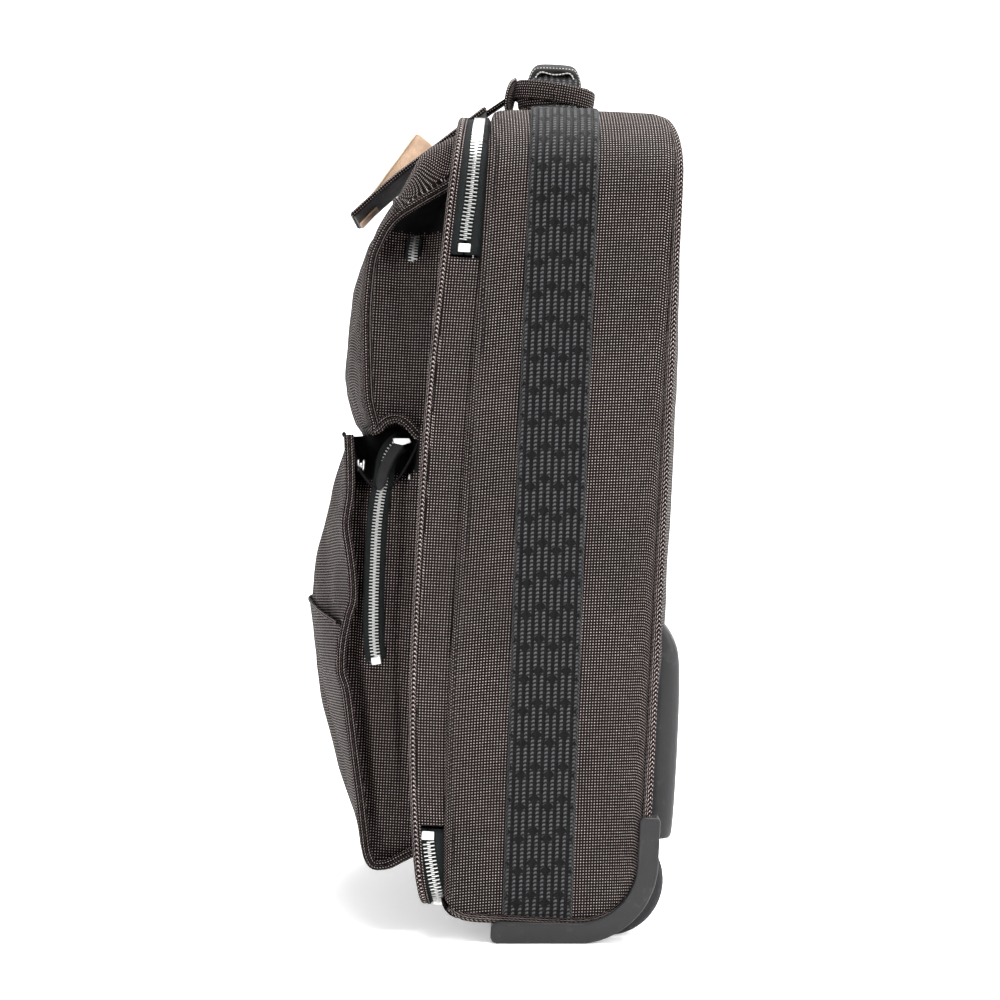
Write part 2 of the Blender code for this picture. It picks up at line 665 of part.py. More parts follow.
def zip_slider(bench, name, centre, along, outward, with_tab):
    """A zip slider, and a pull that hangs from its bridge, with a leather tab if asked."""
    centre, along, outward = Vector(centre), Vector(along), Vector(outward)
    across = along.cross(outward)
    turn = Matrix((across, along, outward)).transposed().to_4x4()
    place = Matrix.Translation(centre) @ turn
    bench.hang_from(name + "_rail", centre)
    body = block(bench, name + "_slider", (-4 * MM, -6 * MM, 0), (4 * MM, 6 * MM, 3 * MM), "zip_metal")
    body.data.transform(place)
    add_bevel(body, 0.8 * MM, 2)
    hinge_spot = place @ Vector((0, -2 * MM, 5.4 * MM))
    bench.hang_from(name + "_pin", hinge_spot)
    low, high = (-4.5 * MM, -32 * MM, 4.2 * MM), (4.5 * MM, -0.6 * MM, 6.2 * MM)
    pull = block(bench, name + "_pull", low, high, "zip_metal")
    pull.data.transform(place)
    low, high = (-2.5 * MM, -10 * MM, 0), (2.5 * MM, -3 * MM, 9 * MM)
    window = block(bench, "cut_" + name + "_pull", low, high, "cutter")
    window.data.transform(place)
    cut(pull, window)
    add_bevel(pull, 0.6 * MM, 1)
    if with_tab:
        outline = [(-5.5, -32.4), (-5.5, -52), (0, -59), (5.5, -52), (5.5, -32.4)]
        points = [(x * MM, y * MM, 4.2 * MM) for x, y in outline]
        tab = prism(bench, name + "_tab", points, Vector((0, 0, 2 * MM)), "leather_black")
        tab.data.transform(place)
    bench.hang_from_case()


def build_sliders(bench):
    upper_x = -UPPER_HALF_W - 1.8 * MM
    zip_slider(bench, "upper_zip", (upper_x, -76 * MM, 430 * MM), (0, 0, 1), (-1, 0, 0), True)
    lower_x = -LOWER_HALF_W - 1.9 * MM
    zip_slider(bench, "lower_zip", (lower_x, POCKET_ZIP_Y, 190 * MM), (0, 0, 1), (-1, 0, 0), True)
    top_z = LID_TOP - 0.6 * MM
    zip_slider(bench, "main_zip", (-70 * MM, ZIP_Y, top_z), (1, 0, 0), (0, 0, 1), False)


def build_carry_handle(bench):
    run, rise = 84 * MM, 46 * MM
    seat = body_top(HANDLE_Y[1]) + WEB_T + 2 * GAP + 2.6 * MM
    shoulder = HANDLE_TOP - 3 * MM
    path = [(-run, seat), (-run + 14 * MM, seat)]
    path += [(-rise - 6 * MM, shoulder - 10 * MM), (-rise + 4 * MM, shoulder)]
    path += [(-x, z) for x, z in reversed(path)]
    strip(bench, "carry_handle_strap", path, *HANDLE_Y, 2.6 * MM, "webbing")
    low = (-36 * MM, HANDLE_Y[0] - 3 * MM, shoulder - 8 * MM)
    high = (36 * MM, HANDLE_Y[1] + 3 * MM, HANDLE_TOP + 3 * MM)
    pad = block(bench, "carry_handle_pad", low, high, "handle_pad", 2.4 * MM)
    slot_low = (-0.05, HANDLE_Y[0] - GAP, shoulder - 2.6 * MM - GAP)
    slot_high = (0.05, HANDLE_Y[1] + GAP, shoulder + GAP)
    cut(pad, block(bench, "cut_pad", slot_low, slot_high, "cutter"))


def build_tag(bench):
    """A cloth loop round the handle's right leg, and the tag that hangs from it over the pocket."""
    ring_low, ring_high = Vector((48 * MM, -15 * MM, 522 * MM)), Vector((78 * MM, 33 * MM, 538 * MM))
    ring = block(bench, "tag_loop", ring_low, ring_high, "cloth")
    wall = Vector((2 * MM, 2 * MM, -0.02))
    cut(ring, block(bench, "cut_tag_loop", ring_low + wall, ring_high - wall, "cutter"))
    bench.hang_from("tag_axis", (TAG_X, *TAG_PIN))
    bar = [(-18.5, 542.5), (-18.5, 538.5), (-33.5, 531), (-33.5, 535)]
    side_prism(bench, "tag_strap", scaled(bar), TAG_X - 2 * MM, TAG_X + 20 * MM, "cloth")
    slab = [(-34, 536.5), (-34, 531.5), (-118, 459), (-121.5, 463)]
    side_prism(bench, "tag_body", scaled(slab), TAG_X - 30 * MM, TAG_X + 30 * MM, "leather_black")
    insert = [(-80.5, 515.5), (-78.5, 514), (-106.5, 476.5), (-108.8, 477.7)]
    side_prism(bench, "tag_leather", scaled(insert), TAG_X - 24 * MM, TAG_X + 24 * MM, "leather_tan")
    bench.hang_from_case()


def smooth_round_pieces():
    for obj in bpy.data.collections[CASE].objects:
        if obj.type == "MESH":
            obj.data.shade_smooth()
            obj.data.set_sharp_from_angle(angle=math.radians(35))


def main():
    clear_scene()
    bench = Bench()
    build_body(bench)
    build_back_piping(bench)
    build_webbing(bench)
    build_piping_room(bench)
    build_corner_guards(bench)
    build_wheels(bench)
    build_trolley(bench)
    build_main_zip_on_body(bench)
    build_lid(bench)
    build_upper_pocket(bench)
    build_lower_pocket(bench)
    bench.hang_from_case()
    build_sliders(bench)
    build_carry_handle(bench)
    build_tag(bench)
    smooth_round_pieces()


main()
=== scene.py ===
"""The looks of the rolling laptop case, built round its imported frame.

Shapes are in millimetres in the case's own upright frame: X across, -Y the front, Z up. The case
leans back on its wheels, so case_to_world tips every finished piece by the lean that the frame
states. Sizes and places are read from the frame's nodes; the constants below are details that
only the looks have, such as tooth pitch, stitch length and how far a panel swells.
"""

import json
import math
import random

import bmesh
import bpy
import numpy as np
from mathutils import Matrix, Vector, noise


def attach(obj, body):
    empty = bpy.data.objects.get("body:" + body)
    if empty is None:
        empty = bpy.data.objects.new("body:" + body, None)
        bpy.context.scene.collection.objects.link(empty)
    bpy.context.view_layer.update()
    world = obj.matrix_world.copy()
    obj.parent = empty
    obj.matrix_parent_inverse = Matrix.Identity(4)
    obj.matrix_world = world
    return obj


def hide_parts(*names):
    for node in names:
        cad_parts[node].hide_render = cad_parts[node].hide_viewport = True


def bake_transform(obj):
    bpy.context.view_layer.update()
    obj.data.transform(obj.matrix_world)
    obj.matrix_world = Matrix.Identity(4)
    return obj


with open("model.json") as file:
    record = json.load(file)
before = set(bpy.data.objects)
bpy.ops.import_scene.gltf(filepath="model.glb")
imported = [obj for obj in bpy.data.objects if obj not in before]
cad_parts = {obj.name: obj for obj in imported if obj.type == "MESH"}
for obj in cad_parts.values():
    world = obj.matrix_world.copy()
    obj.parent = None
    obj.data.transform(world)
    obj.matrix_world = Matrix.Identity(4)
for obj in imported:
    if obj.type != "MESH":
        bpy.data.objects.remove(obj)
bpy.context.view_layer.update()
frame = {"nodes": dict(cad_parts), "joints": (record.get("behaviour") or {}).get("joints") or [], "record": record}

MM = 0.001
SIDES = (("left", -1), ("right", 1))

# The case's frame: which way is up in it, and where its origin is
TIP = Vector({j["name"]: j for j in frame["joints"]}["trolley_lower_stage"]["axis"])
LEAN = math.atan2(TIP.y, TIP.z)
SEAM_Y = -37.0  # the gusset's front edge lies at this depth in the case's frame
RISE = math.tan(LEAN)  # the top stands level, so in the case's frame it rises backwards


def node_points(node, to_case):
    points = np.array([v.co for v in frame["nodes"][node].data.vertices])
    return points @ np.array(to_case.to_3x3()).T + np.array(to_case.translation)


def find_case_to_world():
    """Tips by the lean, then shifts so that the gusset's front edge comes to SEAM_Y."""
    tip = Matrix.Rotation(-LEAN, 4, "X")
    tipped = node_points("main_gusset", tip.inverted())
    shift = (tipped[:, 1].min() - SEAM_Y * MM) / math.cos(LEAN)
    return Matrix.Translation((0, shift, 0)) @ tip


CASE_TO_WORLD = find_case_to_world()
WORLD_TO_CASE = CASE_TO_WORLD.inverted()


def span(node):
    """A node's lowest and highest corners in the case's frame, in millimetres."""
    points = node_points(node, WORLD_TO_CASE) / MM
    return Vector(points.min(0)), Vector(points.max(0))


GUSSET = span("main_gusset")
HALF_W = GUSSET[1].x
BOTTOM = GUSSET[0].z
TOP_R, HEEL_R, TOE_R = 55.0, 38.0, 12.0
BACK_PIPE = span("back_piping")
BACK_Y = BACK_PIPE[1].y
PIPE_R = 3.0
WEB = span("webbing_band")
LID_BAND = span("lid_band")
LID_HALF_W, LID_LOW, LID_HIGH = LID_BAND[1].x, LID_BAND[0].z, LID_BAND[1].z
LID_TOP_R, LID_LOW_R = 50.0, 22.0
BODY_ZIP, LID_ZIP = span("body_zip_half"), span("lid_zip_half")
ZIP_INSET = LID_HALF_W - LID_ZIP[1].x
TAPE_FRONT = LID_ZIP[0].y
HINGE_STRIP = span("hinge_strip")
LID_PIPE = span("lid_piping")
LID_PIPE_R = (LID_PIPE[1].y - LID_PIPE[0].y) / 2
LID_FACE = span("lid_panel")[1].y
UPPER_HALF = span("upper_pocket_gusset")[1].x
LOWER_HALF = span("lower_pocket_gusset")[1].x
GUARD = span("corner_guard_right")
HOUSING = span("trolley_housing")
CUP = span("handle_cup")

# Cloth
DOT_PITCH = 1.75  # distance between the weave's pale dots
SKIN = 1.6  # thickness of the outer cloth
BACK_SWELL = 10.5
SIDE_SWELL = 1.6
BACK_ROLL, BACK_ROLL_HEIGHT = 14.0, 42.0  # how far the top rolls into the back, and over what height
CUP_RIM_DROP, CUP_RIM_TUCK = 2.2, 1.2
WEB_SHIFT = ((26, 300, 500), (4.2, -0.4, -2.4))  # heights, and how far back the webbing lies there
PUCKER = 0.35

# Zips
TOOTH_PITCH = 2.3
TOOTH_LENGTH = 4.4
TOOTH_LAP = 1.0
TEETH = {"main": 1.0, "pocket": 0.86}  # size of each zip's teeth against the main zip's

STITCH_LENGTH, STITCH_GAP, THREAD_R = 2.6, 0.9, 0.32

CLOTH_STEPS = 14


# ---------------------------------------------------------------- mesh building


def body_top(y):
    """Height of the gusset's top at a depth."""
    return GUSSET[1].z + (y - GUSSET[1].y) * RISE


def smooth_step(low, high, value):
    t = min(1.0, max(0.0, (value - low) / (high - low)))
    return t * t * (3 - 2 * t)


def ripple(x, y, z, scale):
    """Smooth noise from -1 to 1 whose lumps are about scale across."""
    return noise.noise(Vector((x, y, z)) / scale)


def link_mesh(name, verts, faces, uvs=None, smooth=True):
    """A mesh object from points in case millimetres, put in its place in the world."""
    mesh = bpy.data.meshes.new(name)
    mesh.from_pydata([tuple(p) for p in np.asarray(verts, float) * MM], [], faces)
    if uvs is not None:
        layer = mesh.uv_layers.new(name="weave")
        layer.data.foreach_set("uv", (np.asarray(uvs, float) * MM).ravel())
    mesh.transform(CASE_TO_WORLD)
    if smooth:
        mesh.shade_smooth()
    obj = bpy.data.objects.new(name, mesh)
    bpy.context.scene.collection.objects.link(obj)
    return obj


def faces_outward(verts, faces, inside):
    """Whether the faces mostly look away from a point."""
    verts = np.asarray(verts, float)
    quads = np.array([f[:3] for f in faces])
    a, b, c = verts[quads[:, 0]], verts[quads[:, 1]], verts[quads[:, 2]]
    normal = np.cross(b - a, c - a)
    return float((normal * (a - np.array(inside))).sum()) > 0


def sheet(name, rows, closed=False, inside=(0, 20, 260), start=None, columns=None):
    """A surface through rows of points. Its weave coordinates are lengths along the cloth.

    columns states the weave coordinates across it instead."""
    points = np.asarray(rows, float)
    count, width = points.shape[:2]
    wide = np.concatenate([points, points[:, :1]], 1) if closed else points
    across = np.zeros(wide.shape[:2])
    across[:, 1:] = np.cumsum(np.linalg.norm(np.diff(wide, axis=1), axis=2), 1)
    across -= across[:, across.shape[1] // 2][:, None]
    if columns is not None:
        across[:] = np.asarray(columns)[None, :]
    along = np.zeros(wide.shape[:2])
    along[1:] = np.cumsum(np.linalg.norm(np.diff(wide, axis=0), axis=2), 0)
    if start is not None:
        along += np.asarray(start)[None, :]
    faces, uvs = [], []
    for r in range(count - 1):
        for c in range(width if closed else width - 1):
            d = (c + 1) % width
            faces.append((r * width + c, r * width + d, (r + 1) * width + d, (r + 1) * width + c))
            for i, j in ((r, c), (r, c + 1), (r + 1, c + 1), (r + 1, c)):
                uvs.append((across[i, j], along[i, j]))
    verts = points.reshape(-1, 3)
    if not faces_outward(verts, faces, inside):
        faces = [f[::-1] for f in faces]
        uvs = [uv for k in range(0, len(uvs), 4) for uv in reversed(uvs[k : k + 4])]
    return link_mesh(name, verts, faces, uvs)


def thicken(obj, thickness, offset=-1.0, rim=None):
    made = obj.modifiers.new("thickness", "SOLIDIFY")
    made.thickness = thickness * MM
    made.offset = offset
    if rim is not None:
        made.material_offset = made.material_offset_rim = rim
    return obj


def subdivide(obj, levels=1):
    made = obj.modifiers.new("smooth", "SUBSURF")
    made.levels = made.render_levels = levels
    return obj


def soften(obj, width, segments=3, angle=35):
    made = obj.modifiers.new("round edges", "BEVEL")
    made.width = width * MM
    made.segments = segments
    made.limit_method = "ANGLE"
    made.angle_limit = math.radians(angle)
    obj.data.shade_smooth()
    obj.data.set_sharp_from_angle(angle=math.radians(50))
    return obj


def resample(points, spacing, closed=False):
    """The same polyline with evenly spaced points."""
    points = np.asarray(points, float)
    if closed:
        points = np.vstack([points, points[:1]])
    lengths = np.concatenate([[0], np.cumsum(np.linalg.norm(np.diff(points, axis=0), axis=1))])
    count = max(2, int(round(lengths[-1] / spacing)) + 1)
    places = np.linspace(0, lengths[-1], count)
    if closed:
        places = places[:-1]
    return np.stack([np.interp(places, lengths, points[:, k]) for k in range(points.shape[1])], 1)


def rounded_path(points, steps=8, closed=False):
    """A Catmull-Rom curve through the points."""
    points = [Vector(p) for p in points]
    count = len(points)
    curve = []
    for i in range(count if closed else count - 1):
        if closed:
            a, b, c, d = (points[(i + k) % count] for k in (-1, 0, 1, 2))
        else:
            a, b = points[max(0, i - 1)], points[i]
            c, d = points[i + 1], points[min(count - 1, i + 2)]
        for s in range(steps):
            t = s / steps
            curve.append(
                0.5 * (2 * b + (c - a) * t + (2 * a - 5 * b + 4 * c - d) * t * t
                       + (3 * b - a - 3 * c + d) * t**3)
            )
    if not closed:
        curve.append(points[-1])
    return [tuple(p) for p in curve]


def carried_frames(path, closed=False, first=None):
    """Along, side and up directions at each point of a path, turning as little as they can."""
    path = [Vector(p) for p in path]
    count = len(path)
    tangents = []
    for i in range(count):
        before = path[i - 1] if closed or i else path[i]
        after = path[(i + 1) % count] if closed or i < count - 1 else path[i]
        tangents.append((after - before).normalized())
    up = Vector(first) if first else Vector((0.3, 0.2, 1)).cross(tangents[0])
    frames = []
    for tangent in tangents:
        up = (up - tangent * up.dot(tangent)).normalized()
        frames.append((tangent, tangent.cross(up), up))
    return frames


def sweep(name, path, section, closed=False, first=None, caps=True, scale=None):
    """A closed section of (side, up) points carried along a path."""
    frames = carried_frames(path, closed, first)
    rows = []
    for i, (place, (_, side, up)) in enumerate(zip(path, frames)):
        k = scale(i / (len(path) - 1)) if scale else 1.0
        rows.append([Vector(place) + side * a * k + up * b * k for a, b in section])
    if closed:
        rows.append(rows[0])
    points = np.asarray([[tuple(p) for p in row] for row in rows])
    middle = points[0].mean(0)
    obj = sheet(name, points, closed=True, inside=tuple(middle))
    bm = bmesh.new()
    bm.from_mesh(obj.data)
    if closed:
        bmesh.ops.remove_doubles(bm, verts=bm.verts, dist=1e-6)
    elif caps:
        bmesh.ops.holes_fill(bm, edges=[e for e in bm.edges if e.is_boundary], sides=0)
    bmesh.ops.recalc_face_normals(bm, faces=bm.faces)
    bm.to_mesh(obj.data)
    bm.free()
    obj.data.shade_smooth()
    obj.data.set_sharp_from_angle(angle=math.radians(60))
    return obj


def circle(radius, sides=10, flat=1.0):
    turns = [2 * math.pi * i / sides for i in range(sides)]
    return [(radius * math.cos(a), radius * flat * math.sin(a)) for a in turns]


def piping_section(radius, tail=2.2):
    """A cord wrapped in cloth, as a round section. tail is not used."""
    cord = [a for a in circle(radius, 14)]
    return cord


def turned(name, profile, centre, steps=48):
    """A closed (radius, offset along X) profile turned about an axis along X."""
    rows = []
    for i in range(steps + 1):
        angle = 2 * math.pi * i / steps
        rows.append([(centre[0] + h, centre[1] + r * math.cos(angle), centre[2] + r * math.sin(angle))
                     for r, h in profile])
    obj = sheet(name, rows, closed=True)
    bm = bmesh.new()
    bm.from_mesh(obj.data)
    bmesh.ops.remove_doubles(bm, verts=bm.verts, dist=1e-6)
    bmesh.ops.recalc_face_normals(bm, faces=bm.faces)
    bm.to_mesh(obj.data)
    bm.free()
    obj.data.shade_smooth()
    obj.data.set_sharp_from_angle(angle=math.radians(32))
    return obj


def slab(name, outline, normal, thickness, origin=(0, 0, 0), turn=None, rounding=0.6, segments=3):
    """A flat outline of 3-D points, given a thickness along a direction and rounded edges."""
    bm = bmesh.new()
    face = bm.faces.new([bm.verts.new(p) for p in outline])
    grown = bmesh.ops.extrude_face_region(bm, geom=[face])
    moved = [v for v in grown["geom"] if isinstance(v, bmesh.types.BMVert)]
    bmesh.ops.translate(bm, vec=Vector(normal) * thickness, verts=moved)
    bmesh.ops.recalc_face_normals(bm, faces=bm.faces)
    if turn is not None:
        bmesh.ops.transform(bm, matrix=turn, verts=bm.verts)
    bmesh.ops.translate(bm, vec=origin, verts=bm.verts)
    verts = [tuple(v.co) for v in bm.verts]
    faces = [[v.index for v in f.verts] for f in bm.faces]
    bm.free()
    uvs = [(verts[i][0] + verts[i][1], verts[i][2]) for f in faces for i in f]
    obj = link_mesh(name, verts, faces, uvs)
    if rounding:
        soften(obj, rounding, segments)
    return obj


def joined(name, objs):
    """One object out of several, with their modifiers applied first."""
    bm = bmesh.new()
    graph = bpy.context.evaluated_depsgraph_get()
    materials = []
    for obj in objs:
        mesh = bpy.data.meshes.new_from_object(obj.evaluated_get(graph), depsgraph=graph)
        mesh.transform(obj.matrix_world)
        index = {}
        for k, finish in enumerate(obj.data.materials):
            if finish not in materials:
                materials.append(finish)
            index[k] = materials.index(finish)
        for polygon in mesh.polygons:
            polygon.material_index = index.get(polygon.material_index, 0)
        bm.from_mesh(mesh)
        bpy.data.meshes.remove(mesh)
    made = bpy.data.meshes.new(name)
    bm.to_mesh(made)
    bm.free()
    for finish in materials:
        made.materials.append(finish)
    for obj in objs:
        bpy.data.objects.remove(obj)
    whole = bpy.data.objects.new(name, made)
    bpy.context.scene.collection.objects.link(whole)
    return whole


def fix(obj, body, finish, replaces=(), inner=None):
    """Gives a piece its material and puts it on its body."""
    if finish is not None:
        obj.data.materials.append(FINISH[finish])
    if inner is not None:
        obj.data.materials.append(FINISH[inner])
    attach(obj, body)
    if replaces:
        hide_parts(*replaces)
    return obj


# ---------------------------------------------------------------- materials


class Shader:
    """Short calls for building one node material."""

    def __init__(self, name):
        self.material = bpy.data.materials.new(name)
        self.material.use_nodes = True
        self.nodes = self.material.node_tree.nodes
        self.links = self.material.node_tree.links
        self.out = self.nodes["Principled BSDF"]

    def put(self, socket, value):
        if isinstance(value, bpy.types.NodeSocket):
            self.links.new(value, socket)
        elif isinstance(value, (tuple, list)) and len(value) == 3 and socket.type == "RGBA":
            socket.default_value = (*value, 1)
        else:
            socket.default_value = value

    def node(self, kind, settings=None, **inputs):
        made = self.nodes.new("ShaderNode" + kind)
        for key, value in (settings or {}).items():
            setattr(made, key, value)
        for key, value in inputs.items():
            self.put(made.inputs[key.replace("_", " ")], value)
        return made

    def math(self, operation, a, b=0.0, c=0.0):
        made = self.nodes.new("ShaderNodeMath")
        made.operation = operation
        for socket, value in zip(made.inputs, (a, b, c)):
            self.put(socket, value)
        return made.outputs[0]

    def mix(self, factor, a, b):
        made = self.nodes.new("ShaderNodeMix")
        made.data_type = "RGBA"
        self.put(made.inputs[0], factor)
        self.put(made.inputs[6], a)
        self.put(made.inputs[7], b)
        return made.outputs[2]

    def ramp(self, value, low, high, to_low=0.0, to_high=1.0):
        made = self.node("MapRange", {"interpolation_type": "SMOOTHSTEP"}, Value=value)
        for key, number in (("From Min", low), ("From Max", high), ("To Min", to_low), ("To Max", to_high)):
            made.inputs[key].default_value = number
        return made.outputs[0]

    def noise(self, vector, scale, detail=3.0):
        made = self.node("TexNoise", Scale=scale, Detail=detail)
        if vector is not None:
            self.links.new(vector, made.inputs["Vector"])
        return made.outputs["Fac"]

    def place(self):
        return self.node("TexCoord").outputs["Object"]

    def weave(self, pitch, turn=0.0):
        """Weave coordinates in threads: (x, y), each a socket."""
        uv = self.node("UVMap", {"uv_map": "weave"}).outputs[0]
        mapped = self.node("Mapping", Vector=uv)
        mapped.inputs["Rotation"].default_value = (0, 0, math.radians(turn))
        mapped.inputs["Scale"].default_value = (1 / (pitch * MM),) * 3
        split = self.node("SeparateXYZ", Vector=mapped.outputs[0])
        return split.outputs[0], split.outputs[1]

    def cell(self, x, y):
        """A random value for each whole thread crossing."""
        join = self.node("CombineXYZ", X=self.math("FLOOR", x), Y=self.math("FLOOR", y))
        return self.node("TexWhiteNoise", {"noise_dimensions": "2D"}, Vector=join.outputs[0]).outputs["Value"]

    def finish(self, colour, roughness, height=None, depth=0.3, metallic=0.0, shine=0.5, **extra):
        self.put(self.out.inputs["Base Color"], colour)
        self.put(self.out.inputs["Roughness"], roughness)
        self.put(self.out.inputs["Metallic"], metallic)
        self.put(self.out.inputs["Specular IOR Level"], shine)
        for key, value in extra.items():
            self.put(self.out.inputs[key.replace("_", " ")], value)
        if height is not None:
            bump = self.node("Bump", Height=height, Distance=depth * MM, Strength=1.0)
            self.links.new(bump.outputs[0], self.out.inputs["Normal"])
        return self.material


def dotted_cloth(name, turn=0.0, pitch=DOT_PITCH, dot=0.155, ground=(0.0036, 0.0021, 0.0021), lift=1.0):
    """Near-black cloth with a pale dot at every crossing of its threads."""
    s = Shader(name)
    x, y = s.weave(pitch, turn)
    fx = s.math("ABSOLUTE", s.math("SUBTRACT", s.math("FRACT", x), 0.5))
    fy = s.math("ABSOLUTE", s.math("SUBTRACT", s.math("FRACT", y), 0.5))
    square = s.math("MAXIMUM", fx, fy)
    round_off = s.math("SQRT", s.math("ADD", s.math("POWER", fx, 2.0), s.math("POWER", fy, 2.0)))
    far = s.math("ADD", s.math("MULTIPLY", square, 0.3), s.math("MULTIPLY", round_off, 0.7))
    mask = s.ramp(far, dot - 0.05, dot + 0.05, 1.0, 0.0)
    threads = s.math("ADD", s.math("SINE", s.math("MULTIPLY", x, 4 * math.pi)),
                     s.math("SINE", s.math("MULTIPLY", y, 4 * math.pi)))
    chance = s.cell(x, y)
    patch = s.noise(s.place(), 22.0, 2.0)
    pale = s.mix(chance, tuple(v * lift for v in (0.37, 0.30, 0.28)), tuple(v * lift for v in (0.60, 0.52, 0.49)))
    base = s.mix(s.ramp(threads, -1.6, 1.8), tuple(v * 0.5 for v in ground), tuple(v * 1.9 for v in ground))
    colour = s.mix(mask, base, pale)
    shade = s.ramp(patch, 0.3, 0.7, 0.84, 1.0)
    tint = s.node("CombineColor", Red=shade, Green=shade, Blue=shade).outputs[0]
    multiply = s.nodes.new("ShaderNodeMix")
    multiply.data_type, multiply.blend_type = "RGBA", "MULTIPLY"
    multiply.inputs[0].default_value = 1.0
    s.put(multiply.inputs[6], colour)
    s.put(multiply.inputs[7], tint)
    height = s.math("ADD", s.math("MULTIPLY", mask, 0.7), s.math("MULTIPLY", threads, 0.12))
    return s.finish(multiply.outputs[2], s.ramp(chance, 0, 1, 0.66, 0.86), height, 0.28, shine=0.07)


def webbing_finish():
    """Black webbing with ten beaded grey cords, and staggered dark lozenges."""
    s = Shader("webbing")
    uv = s.node("UVMap", {"uv_map": "weave"}).outputs[0]
    split = s.node("SeparateXYZ", Vector=uv)
    across = s.math("ADD", s.math("DIVIDE", split.outputs[0], 4.2 * MM), 40.0)
    along = s.math("DIVIDE", split.outputs[1], MM)
    cord = s.math("ABSOLUTE", s.math("SUBTRACT", s.math("FRACT", across), 0.5))
    on_cord = s.ramp(cord, 0.15, 0.29, 1.0, 0.0)
    lean = s.math("MULTIPLY", s.math("SUBTRACT", s.math("FRACT", across), 0.5), 0.5)
    bead = s.math("FRACT", s.math("ADD", s.math("DIVIDE", along, 2.4), lean))
    bead = s.ramp(s.math("ABSOLUTE", s.math("SUBTRACT", bead, 0.5)), 0.12, 0.36, 1.0, 0.05)
    pair = s.math("DIVIDE", across, 2.0)
    stagger = s.math("MULTIPLY", s.math("MODULO", s.math("FLOOR", pair), 2.0), 0.25)
    step = s.math("FRACT", s.math("ADD", s.math("DIVIDE", along, 19.2), stagger))
    reach = s.math("ABSOLUTE", s.math("SUBTRACT", step, 0.5))
    side = s.math("ABSOLUTE", s.math("SUBTRACT", s.math("FRACT", pair), 0.5))
    lozenge = s.ramp(s.math("ADD", s.math("MULTIPLY", reach, 3.2), s.math("MULTIPLY", side, 0.9)), 0.44, 0.54, 1.0, 0.0)
    edge = s.ramp(s.math("ABSOLUTE", s.math("SUBTRACT", across, 40.0)), 4.72, 4.82, 0.0, 1.0)
    lit = s.math("MULTIPLY", s.math("MULTIPLY", on_cord, bead), s.math("SUBTRACT", 1.0, lozenge))
    lit = s.math("MAXIMUM", lit, s.math("MULTIPLY", edge, bead))
    grain = s.noise(s.place(), 900.0, 2.0)
    grey = s.mix(grain, (0.020, 0.021, 0.022), (0.085, 0.088, 0.091))
    colour = s.mix(lit, (0.0022, 0.0020, 0.0022), grey)
    height = s.math("MULTIPLY", lit, 0.9)
    return s.finish(colour, s.ramp(grain, 0.3, 0.7, 0.6, 0.85), height, 0.45, shine=0.10)


def tape_finish(name, colour, rib=0.9):
    """Zip tape or plain strap: fine herringbone ribs."""
    s = Shader(name)
    x, y = s.weave(rib)
    zig = s.math("ABSOLUTE", s.math("SUBTRACT", s.math("FRACT", s.math("DIVIDE", x, 3.0)), 0.5))
    line = s.math("FRACT", s.math("ADD", y, s.math("MULTIPLY", zig, 3.0)))
    ridge = s.ramp(s.math("ABSOLUTE", s.math("SUBTRACT", line, 0.5)), 0.1, 0.4, 1.0, 0.0)
    speck = s.noise(s.place(), 1400.0, 2.0)
    dark = tuple(v * 0.6 for v in colour)
    light = tuple(v * 1.5 for v in colour)
    return s.finish(s.mix(s.math("MULTIPLY", ridge, speck), dark, light), 0.82, ridge, 0.18, shine=0.10)


def metal_finish(name, colour, roughness, brushed=False):
    """Plated or brushed metal with faint smears and scratches."""
    s = Shader(name)
    place = s.place()
    if brushed:
        long_scale = s.node("Mapping", Vector=place)
        long_scale.inputs["Scale"].default_value = (260, 260, 4)
        fine = s.noise(long_scale.outputs[0], 12.0, 4.0)
    else:
        fine = s.noise(place, 900.0, 4.0)
    smear = s.noise(place, 70.0, 3.0)
    tone = s.mix(s.ramp(fine, 0.3, 0.7), tuple(v * 0.82 for v in colour), colour)
    rough = s.math("ADD", roughness, s.math("MULTIPLY", s.math("SUBTRACT", smear, 0.4), 0.22))
    return s.finish(tone, rough, fine, 0.02, metallic=1.0)


def moulded_finish(name, colour, roughness, grain=0.10, scale=1500.0):
    """Moulded plastic: fine spark grain, and random rubbed spots painted lighter, partly wear and partly a painted
    sheen for their polish.
    """
    s = Shader(name)
    place = s.place()
    pits = s.node("TexVoronoi", Vector=place, Scale=scale).outputs["Distance"]
    cloud = s.noise(place, 30.0, 4.0)
    # Rubbed spots painted lighter: partly wear, partly painted sheen, since their roughness stays the same.
    scuff_and_sheen = s.ramp(s.noise(place, 160.0, 6.0), 0.56, 0.72, 0.0, 0.35)
    tone = s.mix(scuff_and_sheen, colour, tuple(min(1, v * 1.8 + 0.01) for v in colour))
    rough = s.math("ADD", roughness - 0.06, s.math("MULTIPLY", cloud, 0.14))
    return s.finish(tone, rough, pits, grain, shine=0.22)


def leather_finish(name, colour, roughness, scale=900.0, depth=0.12, shine=0.3):
    """Leather: cell grain with pores, darker in the creases."""
    s = Shader(name)
    place = s.place()
    cells = s.node("TexVoronoi", {"feature": "DISTANCE_TO_EDGE"}, Vector=place, Scale=scale).outputs["Distance"]
    crease = s.ramp(cells, 0.0, 0.09)
    tone = s.noise(place, 120.0, 5.0)
    dark, light = tuple(v * 0.72 for v in colour), tuple(min(1, v * 1.22) for v in colour)
    shade = s.mix(s.math("MULTIPLY", crease, s.ramp(tone, 0.25, 0.75)), dark, light)
    return s.finish(shade, s.math("ADD", roughness - 0.1, s.math("MULTIPLY", tone, 0.2)), crease, depth, shine=shine)


